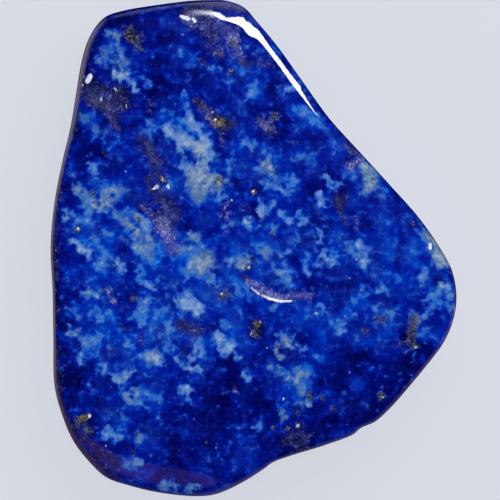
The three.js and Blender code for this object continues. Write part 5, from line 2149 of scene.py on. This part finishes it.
@dataclass(frozen=True)
class Lamp:
    """A soft lamp aimed at the stone: where it stands, its size in m, and what it lights."""

    name: str
    azimuth: float
    zenith: float
    width: float
    height: float
    radiance: float
    colour: Vector3 = (1.0, 1.0, 1.0)
    diffuse: bool = True
    glossy: bool = True
    distance: float = 0.5
    oval: bool = True

    def build(self, target: Vector) -> bpy.types.Object:
        """Adds the lamp.

        An area lamp's power is its radiance times its area and pi.

        Args:
            target: The point that it is aimed at.

        Returns:
            The lamp's object.
        """
        way = Vector(from_sky(self.azimuth, self.zenith))
        data = bpy.data.lights.new(self.name, "AREA")
        data.shape = "ELLIPSE" if self.oval else "RECTANGLE"
        data.size, data.size_y = self.width, self.height
        area = self.width * self.height * (math.pi / 4.0 if self.oval else 1.0)
        data.energy = self.radiance * area * math.pi
        data.color = self.colour
        lamp = bpy.data.objects.new(self.name, data)
        bpy.context.scene.collection.objects.link(lamp)
        lamp.location = target + way * self.distance
        lamp.rotation_euler = (-way).to_track_quat("-Z", "Z").to_euler()
        lamp.visible_camera = False
        lamp.visible_diffuse = self.diffuse
        lamp.visible_glossy = self.glossy
        return lamp


@dataclass(frozen=True)
class Glow:
    """A soft patch of light far away, which only polished surfaces mirror."""

    azimuth: float
    zenith: float
    inner: float
    outer: float
    colour: Vector3

    def axis(self) -> Vector3:
        """The direction that it comes from."""
        return from_sky(self.azimuth, self.zenith)


@dataclass
class Room:
    """The room: plain and pale to the eye, and dark to the polish but for the glows."""

    colour: Vector3 = (0.88, 0.9, 0.95)
    strength: float = 0.6
    glows: tuple[Glow, ...] = (
        Glow(160.0, 125.0, 10.0, 38.0, (0.6, 0.6, 0.62)),
        Glow(-45.0, 135.0, 10.0, 45.0, (0.2, 0.15, 0.22)),
        Glow(-118.0, 72.0, 12.0, 36.0, (0.36, 0.16, 0.3)),
        Glow(-165.0, 130.0, 5.0, 45.0, (0.24, 0.12, 0.12)),
        Glow(78.0, 122.0, 8.0, 28.0, (0.62, 0.62, 0.64)),
    )

    def build(self) -> None:
        """Makes the world: a plain background, and for glossy rays the sum of the glows."""
        world = bpy.data.worlds.new("room")
        world.use_nodes = True
        graph = Graph(world.node_tree)
        direction = graph.tree.nodes.new("ShaderNodeTexCoord").outputs["Generated"]
        mirrored = (0.0, 0.0, 0.0, 1.0)
        for glow in self.glows:
            facing = graph.tree.nodes.new("ShaderNodeVectorMath")
            facing.operation = "DOT_PRODUCT"
            graph.put(facing.inputs[0], direction)
            facing.inputs[1].default_value = glow.axis()
            limits = [math.cos(math.radians(angle)) for angle in (glow.outer, glow.inner)]
            shown = graph.step(facing.outputs["Value"], *limits)
            mirrored = graph.add(shown, mirrored, (*glow.colour, 1.0))
        plain = (*(self.strength * part for part in self.colour), 1.0)
        glossy = graph.tree.nodes.new("ShaderNodeLightPath").outputs["Is Glossy Ray"]
        background = graph.tree.nodes["Background"].inputs["Color"]
        graph.put(background, graph.mix(glossy, plain, mirrored))
        bpy.context.scene.world = world


@dataclass
class Studio:
    """A pale floor, a pale room, soft lamps and the camera."""

    frame_width: float = 0.0261
    aim: tuple[float, float] = (-0.00019, -0.0001)
    camera_distance: float = 0.4
    sensor: float = 36.0
    frame_level: float = 0.8
    floor_half: float = 1.5
    floor_colour: Vector3 = (0.1, 0.1036, 0.1129)
    floor_glow: float = 5.98
    floor_drop: float = 0.00001
    lamps: tuple[Lamp, ...] = (
        Lamp("window", 58.0, 58.0, 0.46, 0.33, 26.0, diffuse=False, oval=False),
        Lamp("soft_key", 60.0, 32.0, 0.4, 0.4, 3.6, glossy=False),
    )

    def floor(self) -> bpy.types.Object:
        """Lays the floor under the stone: matt, and glowing, so that shadows on it stay light.

        Returns:
            The floor's object.
        """
        half = self.floor_half
        square = ((-half, -half), (half, -half), (half, half), (-half, half))
        corners = [(*corner, -self.floor_drop) for corner in square]
        mesh = bpy.data.meshes.new("floor")
        mesh.from_pydata(corners, [], [(0, 1, 2, 3)])
        floor = bpy.data.objects.new("floor", mesh)
        bpy.context.scene.collection.objects.link(floor)
        floor.visible_glossy = False
        material = bpy.data.materials.new("pale_floor")
        material.use_nodes = True
        shader = material.node_tree.nodes["Principled BSDF"]
        for name in ("Base Color", "Emission Color"):
            shader.inputs[name].default_value = (*self.floor_colour, 1.0)
        shader.inputs["Emission Strength"].default_value = self.floor_glow
        shader.inputs["Roughness"].default_value = 1.0
        shader.inputs["Specular IOR Level"].default_value = 0.0
        mesh.materials.append(material)
        return floor

    def camera(self, top: float) -> bpy.types.Object:
        """Places the camera straight above the face, with the narrow end up.

        Args:
            top: The height in metres at which the frame is as wide as frame_width.

        Returns:
            The camera's object.
        """
        data = bpy.data.cameras.new("camera")
        data.sensor_width = self.sensor
        data.lens = self.sensor * self.camera_distance / self.frame_width
        camera = bpy.data.objects.new("camera", data)
        bpy.context.scene.collection.objects.link(camera)
        camera.location = (*self.aim, top + self.camera_distance)
        bpy.context.scene.camera = camera
        return camera

    def build(self) -> None:
        """Sets up the whole studio."""
        top = cad_box[1].z
        bpy.context.scene.view_settings.view_transform = "Standard"
        self.floor()
        self.camera(self.frame_level * top)
        for lamp in self.lamps:
            lamp.build(Vector((0.0, 0.0, top)))
        Room().build()


def main() -> None:
    """Builds the studio and the stone."""
    logging.basicConfig(level=logging.INFO, format="%(name)s: %(message)s")
    low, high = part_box(NODE)
    size = (high - low) / MM
    form = StoneForm(width=size.x, length=size.y, thickness=size.z)
    studio = Studio()
    studio.build()
    log.info("studio: %d lamps", len(studio.lamps))
    stone = Nugget(form).build()
    mesh = stone.data
    log.info("%s: %d points, %d faces", stone.name, len(mesh.vertices), len(mesh.polygons))


if __name__ == "__main__":
    main()
